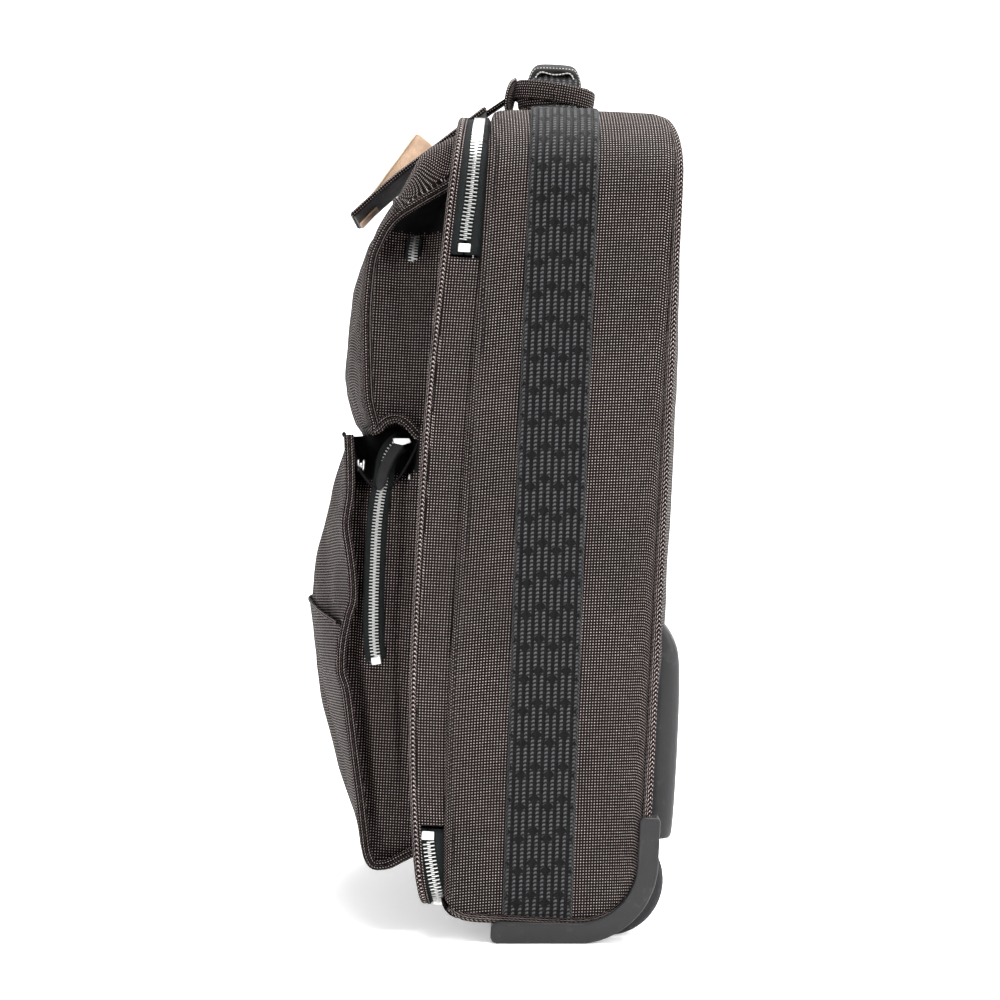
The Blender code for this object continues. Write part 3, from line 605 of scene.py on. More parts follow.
def make_finishes():
    return {
        "cloth": dotted_cloth("cloth"),
        "piping": dotted_cloth("piping", turn=45, pitch=1.9, dot=0.20, lift=0.95),
        "webbing": webbing_finish(),
        "zip_tape": tape_finish("zip_tape", (0.010, 0.012, 0.012)),
        "lining": tape_finish("lining", (0.004, 0.0035, 0.004), 0.7),
        "zip_metal": metal_finish("zip_metal", (0.56, 0.56, 0.545), 0.30),
        "board": moulded_finish("board", (0.10, 0.10, 0.10), 0.6),
        "guard": moulded_finish("guard", (0.010, 0.0098, 0.0105), 0.42, 0.06),
        "housing": moulded_finish("housing", (0.017, 0.017, 0.018), 0.44, 0.08),
        "tyre": moulded_finish("tyre", (0.008, 0.008, 0.009), 0.62, 0.12, 900.0),
        "hub": moulded_finish("hub", (0.030, 0.030, 0.032), 0.42),
        "steel": metal_finish("steel", (0.40, 0.40, 0.41), 0.34),
        "tube": metal_finish("tube", (0.20, 0.205, 0.215), 0.38, brushed=True),
        "grip": moulded_finish("grip", (0.016, 0.016, 0.018), 0.58, 0.16, 700.0),
        "handle_pad": leather_finish("handle_pad", (0.009, 0.0087, 0.0092), 0.55, shine=0.13),
        "leather_black": leather_finish("leather_black", (0.007, 0.007, 0.0074), 0.42, shine=0.2),
        "leather_tan": leather_finish("leather_tan", (0.50, 0.34, 0.23), 0.52),
        "leather_edge": leather_finish("leather_edge", (0.78, 0.62, 0.48), 0.5),
        "thread_dark": tape_finish("thread_dark", (0.030, 0.026, 0.026), 0.5),
        "thread_pale": tape_finish("thread_pale", (0.62, 0.58, 0.55), 0.5),
    }


FINISH = make_finishes()


def repaint_kept_nodes():
    """The rigid CAD nodes that stay get their procedural materials, and softer edges."""
    slots = {row["node"]: row["material_slot"] for row in frame["record"]["subparts"]}
    for name, obj in frame["nodes"].items():
        finish = FINISH["lining" if name == "opening_frame" else slots[name]]
        obj.data.materials.clear()
        obj.data.materials.append(finish)
    for name in ("trolley_bracket", "back_board"):
        made = frame["nodes"][name].modifiers.new("round edges", "BEVEL")
        made.width, made.segments, made.limit_method = 0.6 * MM, 2, "ANGLE"


# ---------------------------------------------------------------- cloth simulation


def settle(obj, held, pressure, slack=0.0, cap=6.0, stiffness=14.0, steps=CLOTH_STEPS):
    """Blows a sheet outwards while the held points stay, and keeps the result as its mesh."""
    rest = np.array([v.co for v in obj.data.vertices])
    group = obj.vertex_groups.new(name="held")
    for index, weight in held.items():
        group.add([index], weight, "REPLACE")
    cloth = obj.modifiers.new("cloth", "CLOTH")
    setting = cloth.settings
    setting.quality = 6
    setting.mass = 0.25
    setting.vertex_group_mass = "held"
    setting.use_pressure = True
    setting.uniform_pressure_force = pressure
    setting.tension_stiffness = setting.compression_stiffness = stiffness
    setting.shear_stiffness = 6
    setting.bending_stiffness = 0.8
    setting.shrink_min = -slack
    setting.effector_weights.gravity = 0
    cloth.collision_settings.use_collision = False
    cloth.point_cache.frame_start, cloth.point_cache.frame_end = 1, steps
    scene = bpy.context.scene
    for number in range(1, steps + 1):
        scene.frame_set(number)
    graph = bpy.context.evaluated_depsgraph_get()
    settled = bpy.data.meshes.new_from_object(obj.evaluated_get(graph), depsgraph=graph)
    moved = np.array([v.co for v in settled.vertices]) - rest
    size = np.linalg.norm(moved, axis=1, keepdims=True)
    moved *= np.minimum(1.0, cap * MM / np.maximum(size, 1e-9))
    bpy.data.meshes.remove(settled)
    obj.modifiers.remove(cloth)
    obj.data.vertices.foreach_set("co", (rest + moved).astype(np.float32).ravel())
    obj.data.update()
    obj.data.shade_smooth()
    scene.frame_set(1)
    return obj


def edge_weights(rows, columns, sides=("top", "bottom", "left", "right"), reach=1):
    """Pin weights for the border of a grid sheet."""
    held = {}
    for r in range(rows):
        for c in range(columns):
            near = [r < reach and "top" in sides, r >= rows - reach and "bottom" in sides,
                    c < reach and "left" in sides, c >= columns - reach and "right" in sides]
            if any(near):
                held[r * columns + c] = 1.0
    return held


# ---------------------------------------------------------------- body of the case


def arch_points(half_w, foot, top, radius, gap=5.0):
    """An upside-down U as (x, z, normal x, normal z), the same number of points for any foot or top."""
    side = int(440 / gap)
    flat = int(230 / gap)
    points = [(-half_w, foot + (top - radius - foot) * i / side, -1.0, 0.0) for i in range(side)]
    for centre, start in ((-half_w + radius, 180), (half_w - radius, 90)):
        for i in range(17):
            angle = math.radians(start - 90 * i / 16)
            c, s = math.cos(angle), math.sin(angle)
            points.append((centre + radius * c, top - radius + radius * s, c, s))
        if start == 180:
            reach = half_w - radius
            points += [(-reach + 2 * reach * i / flat, top, 0.0, 1.0) for i in range(1, flat)]
    points += [(half_w, top - radius - (top - radius - foot) * i / side, 1.0, 0.0) for i in range(1, side + 1)]
    return points


def gusset_foot(y):
    """Lower edge of the gusset's side, rounded at the toe and the heel."""
    back = GUSSET[1].y
    if y > back - HEEL_R:
        return BOTTOM + HEEL_R - math.sqrt(max(0.0, HEEL_R**2 - (y - back + HEEL_R) ** 2))
    if y < SEAM_Y + TOE_R:
        return BOTTOM + TOE_R - math.sqrt(max(0.0, TOE_R**2 - (SEAM_Y + TOE_R - y) ** 2))
    return BOTTOM


def gusset_swell(x, y, z):
    """How far the gusset's cloth stands off its flat shape: a soft crown, drag lines and puckers."""
    depth = GUSSET[1].y - SEAM_Y
    middle = 1 - ((y - SEAM_Y - depth / 2) / (depth / 2)) ** 2
    rise = smooth_step(BOTTOM + 20, BOTTOM + 170, z)
    crown = SIDE_SWELL * max(0.0, middle) * rise
    drag = 0.7 * ripple(x * 0.4, y * 0.9, z * 0.35, 46) * max(0.0, middle) * rise
    to_edge = max(0.0, min(y - seam_y(x, z), GUSSET[1].y - y))
    pucker = PUCKER * ripple(x, y * 0.3, z, 5.5) * math.exp(-to_edge / 7.0)
    tuck = -1.1 * math.exp(-to_edge / 1.6)
    return crown + drag + pucker + tuck


def build_gusset():
    shares = list(np.linspace(0, 0.07, 6)) + list(np.linspace(0.1, 0.86, 22)) + list(np.linspace(0.88, 1, 11))

    def y_at(share, x, z):
        front = seam_y(x, z)
        room = cup_room(x)
        return front + (GUSSET[1].y - back_curl(z) * (1 - room) + 1.5 * room - front) * share

    rows = gusset_sheet("gusset", shares, y_at, lambda share: 0.0)
    start = [gusset_foot(y_at(share, HALF_W, 260)) for share in shares]
    obj = sheet("gusset_cloth", rows, start=start)
    obj.data.materials.append(FINISH["cloth"])
    obj.data.materials.append(FINISH["lining"])
    thicken(obj, SKIN, rim=1)
    reach = Vector((0.2, 0.2, 0.2))
    cup = bpy.data.objects.new("cup_cutter", box_mesh(CUP[0] - reach, CUP[1] + reach + Vector((0, 0, 9))))
    cup.hide_render = True
    bpy.context.scene.collection.objects.link(cup)
    cut = obj.modifiers.new("cup", "BOOLEAN")
    cut.object, cut.operation = cup, "DIFFERENCE"
    keep_result(obj)
    bpy.data.objects.remove(cup)
    fix(obj, "case", None, ("main_gusset",))


def box_mesh(low, high):
    """A plain box mesh in the world, used only to cut with."""
    bm = bmesh.new()
    bmesh.ops.create_cube(bm, size=1)
    bmesh.ops.scale(bm, vec=(high - low), verts=bm.verts)
    bmesh.ops.translate(bm, vec=(low + high) / 2, verts=bm.verts)
    bmesh.ops.scale(bm, vec=(MM, MM, MM), verts=bm.verts)
    mesh = bpy.data.meshes.new("cutter")
    bm.to_mesh(mesh)
    bm.free()
    mesh.transform(CASE_TO_WORLD)
    return mesh


def keep_result(obj):
    """Applies an object's modifiers."""
    graph = bpy.context.evaluated_depsgraph_get()
    made = bpy.data.meshes.new_from_object(obj.evaluated_get(graph), depsgraph=graph)
    obj.modifiers.clear()
    obj.data = made
    return obj


def build_back_panel():
    """The back: a swollen cloth panel between the piping, cut out round the wheel wells."""
    inner = HALF_W - 2 * PIPE_R + 1.5
    low, high = BOTTOM + 44, gusset_top(BACK_Y - 5) - 2 * PIPE_R + 1.5
    radius = TOP_R - 2 * PIPE_R
    rows = []
    count, columns = 60, 44
    for i in range(count + 1):
        z = low + (high - low) * i / count
        half = inner
        if z > high - radius:
            half = inner - radius + math.sqrt(max(0.0, radius**2 - (z - high + radius) ** 2))
        rise = smooth_step(low, low + 150, z) * (1 - smooth_step(high - 150, high, z) * 0.9)
        row = []
        for j in range(columns + 1):
            u = -1 + 2 * j / columns
            swell = (1 - abs(u) ** 3.2) * rise
            x = u * half
            y = BACK_Y - 2.2 - back_curl(z + 6) * (1 - cup_room(x)) + BACK_SWELL * swell + 0.5 * ripple(x, 7, z, 40) * (1 - u * u)
            row.append((x, y, z))
        rows.append(row)
    obj = sheet("back_panel_cloth", rows)
    settle(obj, edge_weights(count + 1, columns + 1), 0.4, slack=0.004, cap=1.5)
    thicken(obj, SKIN)
    for _, side in SIDES:
        cut_wheel_room(obj, side)
    keep_result(obj)
    fix(obj, "case", "cloth", ("back_panel",))


def cut_wheel_room(obj, side):
    well = span("wheel_well_right" if side > 0 else "wheel_well_left")
    centre, radius = (well[0] + well[1]) / 2, (well[1].y - well[0].y) / 2
    low = Vector((well[0].x - 0.3, well[0].y - 8, BOTTOM - 30))
    high = Vector((well[1].x + 0.3, centre.y + 60, well[1].z + 1.5))
    cutter = bpy.data.objects.new("wheel_cutter", box_mesh(low, high))
    cutter.hide_render = True
    bpy.context.scene.collection.objects.link(cutter)
    cut = obj.modifiers.new("wheel", "BOOLEAN")
    cut.object, cut.operation = cutter, "DIFFERENCE"
    keep_result(obj)
    bpy.data.objects.remove(cutter)
    return radius


def arc(cx, cz, radius, start, end, steps):
    angles = [math.radians(start + (end - start) * i / steps) for i in range(steps + 1)]
    return [(cx + radius * math.cos(a), cz + radius * math.sin(a)) for a in angles]


def build_bottom_panel():
    half = HALF_W - 2 * PIPE_R + 1
    under, heel = span("bottom_panel")[0].z, HEEL_R + 6
    path = [(BACK_Y - 1, BOTTOM + 44)] + arc(BACK_Y - 1 - heel, under + heel, heel, 0, -90, 12)
    path += arc(SEAM_Y + TOE_R, under + TOE_R, TOE_R, -90, -180, 6)
    path = resample(path, 4)
    rows = [[(half * (-1 + 2 * j / 40), y + 0.25, z + 0.3 * ripple(half * j / 9, y, z, 30)) for j in range(41)]
            for y, z in path]
    obj = sheet("bottom_panel_cloth", rows)
    thicken(obj, SKIN)
    for _, side in SIDES:
        cut_wheel_room(obj, side)
    fix(obj, "case", "cloth", ("bottom_panel",))


def build_back_piping():
    low, back = BOTTOM - PIPE_R - 0.3, BACK_Y - PIPE_R
    bend, x = 44 - PIPE_R, HALF_W - PIPE_R
    side = [(SEAM_Y + 6, low + 6), (SEAM_Y + 9, low + 3), (SEAM_Y + 14, low + 0.8), (SEAM_Y + 20, low)]
    side += arc(back - bend, low + bend, bend, -90, 0, 10)
    top = gusset_top(BACK_Y - 5) - PIPE_R + 0.5
    radius = TOP_R - PIPE_R
    over = arc(-x + radius, top - radius, radius, 180, 90, 12) + arc(x - radius, top - radius, radius, 90, 0, 12)
    over = [(px, pz, cup_room(px)) for px, pz in (tuple(p) for p in resample(over, 5))]
    points = [(-x, y, z) for y, z in side]
    points += [(px, back - back_curl(pz + 6) * (1 - room), pz - 3 * room) for px, pz, room in over]
    points += [(x, y, z) for y, z in reversed(side)]
    path = resample(points, 5)
    obj = sweep("back_piping_cord", [tuple(p) for p in path], circle(PIPE_R - 0.1, 14), first=(1, 0, 0))
    fix(obj, "case", "piping", ("back_piping",))


def build_webbing():
    """The webbing over the gusset, with a rib for every cord."""
    ribs, fine = 10, 6
    shares = np.linspace(0, 1, ribs * fine + 1)

    def off(share):
        cord = 0.5 * abs(math.sin(math.pi * share * ribs))
        edge = 0.6 * math.exp(-min(share, 1 - share) * ribs * fine / 1.5)
        return 1.2 + cord - edge

    rows = gusset_sheet("webbing", shares, webbing_y, off)
    columns = (shares - 0.5) * (WEB[1].y - WEB[0].y)
    obj = sheet("webbing_strap", rows, start=[BOTTOM] * len(shares), columns=columns)
    thicken(obj, 1.1)
    fix(obj, "case", "webbing", ("webbing_band",))


def build_guards():
    """The L-shaped plastic guards round the lower back corners, flat underneath."""
    outer_y, top, toe = GUARD[1].y, GUARD[1].z, GUARD[0].y
    radius, width, heel_z, floor = 49.5, 12.4, 51.6, 0.15
    outer = [(toe + 4, -3)] + arc(outer_y - radius, heel_z, radius, -90, 0, 26) + [(outer_y, top - 1.5)]
    outer += [(outer_y - 1.5, top)]
    inner = [(outer_y - width + 1.5, top), (outer_y - width, top - 1.5)]
    inner += arc(outer_y - radius, heel_z, radius - width, 0, -90, 20)
    inner += [(toe + 4, 13.2), (toe + 1.2, 12), (toe, 9.4), (toe, 3.4), (toe + 1.2, 0.8)]
    outline = [(y, max(z, y * RISE + floor)) for y, z in outer + inner]
    for name, side in SIDES:
        x0, x1 = side * GUARD[0].x, side * GUARD[1].x
        obj = slab("guard_" + name, [(x0, y, z) for y, z in outline], (1, 0, 0), x1 - x0, rounding=2.0, segments=4)
        fix(obj, "case", "guard", ("corner_guard_" + name,))


def build_wheels():
    for name, side in SIDES:
        tyre = span("tyre_" + name)
        centre = (tyre[0] + tyre[1]) / 2
        half, radius = (tyre[1].x - tyre[0].x) / 2, (tyre[1].y - tyre[0].y) / 2
        tread = [(27.0, -half), (30.6, -half)]
        tread += [(radius - 3.6 + 3.6 * math.sin(a), -half + 3.6 - 3.6 * math.cos(a)) for a in np.linspace(0.15, 1.45, 6)]
        grooves = [(radius, -5.2), (radius - 0.9, -4.8), (radius - 0.9, -4.2), (radius, -3.8)]
        half_tread = tread + grooves
        profile = half_tread + [(r, -h) for r, h in reversed(half_tread)]
        obj = turned("wheel_tyre_" + name, profile, centre, 72)
        fix(obj, "wheel_" + name, "tyre", ("tyre_" + name,))
        build_hub(name, centre, half - 1)


def build_hub(name, centre, half):
    rim = 26.7
    profile = [(rim, -half), (rim, half), (24.2, half), (23.4, half - 1.2), (22.6, 4.2), (11.5, 3.4), (10.2, half - 1),
               (9.4, half), (4.4, half), (4.4, -half), (9.4, -half), (10.2, -half + 1), (11.5, -3.4), (22.6, -4.2),
               (23.4, -half + 1.2), (24.2, -half)]
    pieces = [turned("hub_disc", profile, centre, 64)]
    for i in range(6):
        turn = Matrix.Rotation(math.pi / 3 * i, 4, "X")
        outline = [(-half + 2, -1.3, 9.6), (half - 2, -1.3, 9.6), (half - 1.2, -1.3, 23.6), (-half + 1.2, -1.3, 23.6)]
        pieces.append(slab("spoke", outline, (0, 1, 0), 2.6, origin=centre, turn=turn, rounding=0.5, segments=2))
    obj = joined("wheel_hub_" + name, pieces)
    fix(obj, "wheel_" + name, "hub", ("hub_" + name,))


def build_housing():
    """The moulded trolley cover: a rounded tray with a sloping shoulder and two shallow channels."""
    low, high = HOUSING
    half, base = high.x, low.y - 0.2
    profile = [(low.z + 3, 5, 5), (low.z - 1.5, 8.8, 3), (low.z - 2.6, 10.6, 2.2), (low.z - 2.4, 13.2, 1.4),
               (low.z - 1.2, 15.0, 0.8), (low.z + 1.6, 15.8, 0.4), (low.z + 16, 16.4, 0.1), (110, 16.8, 0),
               (140, 16.6, 0), (160, 16.0, 0), (171, 15.2, 0.2), (178, 14.0, 0.5), (184, 11.8, 1.0),
               (189, 9.0, 1.8), (193, 6.0, 2.8), (196, 2.8, 4), (high.z, 0.4, 5)]
    rows = []
    for z, depth, tuck in profile:
        reach, out = half - tuck, depth
        corner = min(6.0, out)
        bends = np.linspace(0, math.pi / 2, 8)
        row = [(-reach, base, z)]
        row += [(-reach + corner - corner * math.cos(a), base + out - corner + corner * math.sin(a), z) for a in bends]
        for x in np.linspace(-reach + corner + 2, reach - corner - 2, 49):
            groove = 1.3 * (smooth_step(18, 20.5, abs(x)) - smooth_step(100, 102.5, abs(x)))
            groove *= smooth_step(74, 80, z) * (1 - smooth_step(166, 174, z))
            row.append((x, base + out - groove, z))
        row += [(reach - corner + corner * math.sin(a), base + out - corner + corner * math.cos(a), z) for a in bends]
        row.append((reach, base, z))
        rows.append(row)
    obj = sheet("trolley_cover", rows, inside=(0, 60, 120))
    subdivide(thicken(obj, 1.8), 1)
    fix(obj, "case", "housing", ("trolley_housing",))


# ---------------------------------------------------------------- zips


def zip_loop(inset, gap=4.0):
    """The main zip's course from its low end on the hinge side round to its high end there, as (x, z)."""
    half, low, high = LID_HALF_W - inset, LID_LOW + inset, LID_HIGH - inset
    top_r, low_r = LID_TOP_R - inset, LID_LOW_R - inset
    points = [(half, HINGE_STRIP[0].z - 2)]
    points += arc(half - low_r, low + low_r, low_r, 0, -90, 18)
    points += arc(-half + low_r, low + low_r, low_r, 270, 180, 18)
    points += arc(-half + top_r, high - top_r, top_r, 180, 90, 18)
    points += arc(half - top_r, high - top_r, top_r, 90, 0, 18)
    points.append((half, HINGE_STRIP[1].z + 2))
    return resample(points, gap)


def flat_normals(path):
    """Unit normals of an (x, z) path, on its outer side for a clockwise path."""
    path = np.asarray(path)
    ahead = np.gradient(path, axis=0)
    normal = np.stack([ahead[:, 1], -ahead[:, 0]], 1)
    normal /= np.linalg.norm(normal, axis=1, keepdims=True)
    centre = path.mean(0)
    return normal if ((path - centre) * normal).sum() > 0 else -normal


def band(name, path, profile, closed=False, start=None):
    """A strip along an (x, z) path. profile holds (y, height off the path) points across it."""
    normals = flat_normals(path)
    rows = [[(x + nx * h, y, z + nz * h) for y, h in profile] for (x, z), (nx, nz) in zip(path, normals)]
    if closed:
        rows.append(rows[0])
    return sheet(name, rows, start=start)


def tooth_mesh(size):
    """One zip tooth as points (along the zip, across it, off the tape) and faces."""
    half, tall = 0.46 * size, 1.9 * size
    ring = [(-half, 0), (half, 0), (half, tall * 0.7), (half * 0.55, tall), (-half * 0.55, tall), (-half, tall * 0.7)]
    reach = TOOTH_LENGTH * size
    stations = ((0.0, 0.92), (0.5, 1.0), (reach - 0.8, 1.0), (reach, 0.74))
    verts = [(a * k, b, tall * 0.45 + (c - tall * 0.45) * k) for b, k in stations for a, c in ring]
    faces = [[5 - i for i in range(6)], [18 + i for i in range(6)]]
    for s in range(3):
        for i in range(6):
            j = (i + 1) % 6
            faces.append([s * 6 + i, s * 6 + j, s * 6 + 6 + j, s * 6 + 6 + i])
    return np.array(verts), faces


def teeth_row(name, places, outs, across, shift, size):
    """Teeth along a course. across points from the tape to the other half."""
    verts, faces = tooth_mesh(size)
    pitch = TOOTH_PITCH * size
    course = resample(np.hstack([places, outs]), pitch)
    all_verts, all_faces = [], []
    for i in range(len(course) - 1):
        place = Vector(course[i][:3]).lerp(Vector(course[i + 1][:3]), shift)
        out = Vector(course[i][3:]).normalized()
        ahead = (Vector(course[i + 1][:3]) - Vector(course[i][:3])).normalized()
        toward = Vector(across)
        if toward.length < 0.5:
            toward = ahead.cross(out)
        toward = (toward - ahead * toward.dot(ahead)).normalized()
        lap = TOOTH_LAP * size - TOOTH_LENGTH * size
        base = len(all_verts)
        for a, b, c in verts:
            all_verts.append(place + ahead * a + toward * (b + lap) + out * (c - 0.4 * size))
        all_faces += [[base + k for k in f] for f in faces]
    obj = link_mesh(name, [tuple(v) for v in all_verts], all_faces, smooth=False)
    bm = bmesh.new()
    bm.from_mesh(obj.data)
    bmesh.ops.recalc_face_normals(bm, faces=bm.faces)
    bm.to_mesh(obj.data)
    bm.free()
    return obj


def build_main_zip():
    """Two tapes with their teeth: one half on the case, one on the lid."""
    path = zip_loop(ZIP_INSET)
    normals = flat_normals(path)
    halves = (("body", "case", -1, 0.0, "body_zip_half"), ("lid", "lid", 1, 0.5, "lid_zip_half"))
    for name, body, toward, shift, node in halves:
        rows = []
        for (x, z), (nx, nz) in zip(path, normals):
            seam, middle, edge = seam_y(x, z), zip_y(x, z), lid_edge_y(x, z) + LID_PIPE_R
            if name == "body":
                profile = [(seam + 2, -0.9), (seam - 0.8, 0), ((seam + middle) / 2, 0.3), (middle + 0.6, -0.1)]
            else:
                profile = [(middle - 0.6, -0.1), ((edge + middle) / 2, 0.3), (edge + 0.4, 0), (edge - 1.2, -0.9)]
            rows.append([(x + nx * h, y, z + nz * h) for y, h in profile])
        fix(thicken(sheet(name + "_zip_tape", rows), 1.0), body, "zip_tape", (node,))
        inner = path[2:-2]
        places = np.array([(x, zip_y(x, z), z) for x, z in inner])
        outs = np.stack([normals[2:-2, 0], np.zeros(len(inner)), normals[2:-2, 1]], 1)
        teeth = teeth_row(name + "_zip_teeth", places, outs, (0, toward, 0), shift, TEETH["main"])
        fix(teeth, body, "zip_metal")
    for tag, index in (("low", 1), ("high", len(path) - 2)):
        x, z = path[index]
        outline = [(-0.5, -3.8, -2.6), (-0.5, 3.8, -2.6), (-0.5, 3.8, 2.6), (-0.5, -3.8, 2.6)]
        stop = slab("zip_stop_" + tag, outline, (1, 0, 0), 2.6, origin=(x, zip_y(x, z), z), rounding=0.6)
        fix(stop, "case", "zip_metal")


def build_hinge_strip():
    """Cloth that joins the lid to the case where the zip stops."""
    x = HINGE_STRIP[1].x
    rows = []
    for z in np.linspace(HINGE_STRIP[0].z, HINGE_STRIP[1].z, 120):
        back, front = seam_y(x, z) + 1.2, lid_edge_y(x, z) + LID_PIPE_R - 0.6
        row = []
        for share in np.linspace(0, 1, 15):
            y = front + (back - front) * share
            tuck = 0.9 * math.exp(-(((y - back) / 2.0) ** 2))
            row.append((x + 0.5 - tuck + 0.3 * ripple(x, y, z, 16), y, z))
        rows.append(row)
    obj = sheet("hinge_strip_cloth", rows, start=[HINGE_STRIP[0].z] * 15)
    thicken(obj, 1.2)
    keep_result(obj)
    obj.data.materials.append(FINISH["cloth"])
    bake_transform(obj)
    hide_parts("hinge_strip")


# ---------------------------------------------------------------- lid and pockets


def lid_ring(inset, gap=4.0):
    half, low, high = LID_HALF_W - inset, LID_LOW + inset, LID_HIGH - inset
    top_r, low_r = LID_TOP_R - inset, LID_LOW_R - inset
    points = arc(half - low_r, low + low_r, low_r, 0, -90, 18)
    points += arc(-half + low_r, low + low_r, low_r, 270, 180, 18)
    points += arc(-half + top_r, high - top_r, top_r, 180, 90, 18)
    points += arc(half - top_r, high - top_r, top_r, 90, 0, 18)
    return resample(points, gap, closed=True)


def lid_depth(z):
    """How far the lid's edge bows forward of straight at a height."""
    t = (z - LID_LOW) / (LID_HIGH - LID_LOW)
    return -3.0 * math.sin(math.pi * min(1, max(0, t)))


def build_lid():
    ring = lid_ring(0.2)
    normals = flat_normals(ring)
    rows = []
    for (x, z), (nx, nz) in zip(ring, normals):
        edge = lid_edge_y(x, z) + LID_PIPE_R
        profile = [(edge + 0.9, -0.9), (edge + 0.5, 0.1), (edge - 0.8, 0.3), (edge - 2.4, -0.5)]
        rows.append([(x + nx * h, y, z + nz * h) for y, h in profile])
    rows.append(rows[0])
    fix(thicken(sheet("lid_band_cloth", rows), 1.0), "lid", "cloth", ("lid_band",))

    path = [(x, lid_edge_y(x, z), z) for x, z in lid_ring(LID_PIPE_R)]
    cord = sweep("lid_piping_cord", path, circle(LID_PIPE_R, 14), closed=True, first=(0, 1, 0))
    fix(cord, "lid", "piping", ("lid_piping",))
    build_lid_panel()


def build_lid_panel():
    """The lid's face: the outline filled by shrinking rings, swelling softly forwards."""
    ring = lid_ring(LID_PIPE_R * 2 - 1.2, 6.0)
    middle = np.array([0.0, (LID_LOW + LID_HIGH) / 2])
    rows = []
    for k in (1.0, 0.985, 0.96, 0.9, 0.8, 0.66, 0.5, 0.3, 0.12, 0.02):
        row = []
        for x, z in ring:
            px, pz = middle + (np.array([x, z]) - middle) * k
            y = lid_face_y(px, pz) - 2.2 * (1 - k**6) + 0.4 * ripple(px, 3, pz, 34)
            row.append((px, y, pz))
        rows.append(row)
    obj = sheet("lid_face_cloth", rows, closed=True)
    flat_weave(obj)
    fix(thicken(obj, SKIN), "lid", "cloth", ("lid_panel",))


def flat_weave(obj, from_side=False):
    """Weave coordinates straight from the case's frame, seen from the front or from the side."""
    layer = obj.data.uv_layers["weave"]
    coords = [WORLD_TO_CASE @ v.co for v in obj.data.vertices]
    for loop in obj.data.loops:
        place = coords[loop.vertex_index]
        layer.data[loop.index].uv = (place.y if from_side else place.x, place.z)


# Edges of the soft front, seen from the side, as (y, z); -1 is the left side and 1 the right
SEAM_LINE = {
    1: [(-35, 26), (-36.9, 68), (-38.7, 146), (-35.7, 302), (-31.9, 423), (-30.8, 468), (-29.9, 499), (-26, 510)],
    -1: [(-31, 26), (-32.4, 59), (-36.8, 146), (-37.3, 320), (-36.5, 395), (-35.6, 436), (-35.3, 488), (-31, 510)],
}
TEETH_LINE = {
    1: [(-38.2, 22), (-47.1, 67), (-48.5, 146), (-46, 302), (-42.3, 416), (-39.9, 446), (-37.6, 491), (-36, 510)],
    -1: [(-34, 16), (-38, 47), (-44, 99), (-45.2, 134), (-45.2, 221), (-46.6, 320), (-44.6, 407), (-42.1, 484),
         (-39, 510)],
}
LID_LINE = {
    1: [(-46, 16), (-53.2, 56), (-59.5, 146), (-59.2, 302), (-53.5, 416), (-49.3, 476), (-46.5, 510)],
    -1: [(-45.6, 16), (-52.7, 88), (-59.4, 221), (-60.3, 320), (-59.4, 407), (-56, 470), (-50, 510)],
}
UPPER_EDGE = {
    1: [(-51.5, 463), (-54.6, 461.2), (-65, 454.5), (-76.2, 447.2), (-86.5, 439.7), (-93.3, 431.4), (-98.5, 420),
        (-101.5, 409.3), (-102.7, 390), (-102.7, 372), (-101, 345), (-98.9, 323), (-94.5, 308)],
    -1: [(-58, 474), (-67.6, 470.5), (-86, 461.6), (-96, 453), (-103, 442), (-109, 429), (-112, 414), (-111.5, 380),
         (-110, 351), (-108, 328), (-105, 309)],
}
UPPER_FOOT = {
    1: [(-61, 299), (-67, 301.5), (-73, 307.5), (-79, 311), (-85, 309.5), (-90, 304), (-94, 302.5), (-94.5, 308)],
    -1: [(-61, 300), (-68, 306), (-76, 311), (-84, 310), (-92, 306), (-99, 303), (-104, 303), (-105, 309)],
}
UPPER_ZIP = {
    1: [(-75, 410), (-75, 420), (-73.5, 434), (-70, 446), (-66, 452)],
    -1: [(-79, 428), (-77.5, 436), (-75, 446), (-71, 456)],
}
LOWER_EDGE = [(-110.4, 301), (-108.6, 280), (-108, 264), (-109.5, 246), (-106.5, 229), (-103.8, 214), (-102.9, 200),
              (-105.3, 190), (-107.8, 172), (-107.6, 155), (-103.9, 144), (-100.6, 126), (-96.3, 101), (-92, 77),
              (-88.9, 58), (-86, 43), (-80.7, 35.5)]
LOWER_FOOT = [(-53, 46), (-62, 41), (-71, 36), (-80.7, 35.5)]
LOWER_MID = [(-83, 36), (-89, 46), (-100, 64), (-108, 81), (-114, 101), (-122, 127), (-126, 147), (-130, 172),
             (-133, 190), (-133, 205), (-130, 227), (-124.5, 250), (-122.5, 266), (-119, 284), (-113, 304)]
LOWER_ZIP = {
    1: [(-84.5, 163), (-86.7, 176), (-88, 200), (-88.4, 225), (-88.4, 245), (-87.3, 262), (-86, 271), (-84.8, 287),
        (-81, 295), (-76.8, 298.5)],
    -1: [(-90, 167), (-89.5, 190), (-89.5, 225), (-89.5, 250), (-88.5, 268), (-86, 281), (-80, 291), (-73, 297)],
}


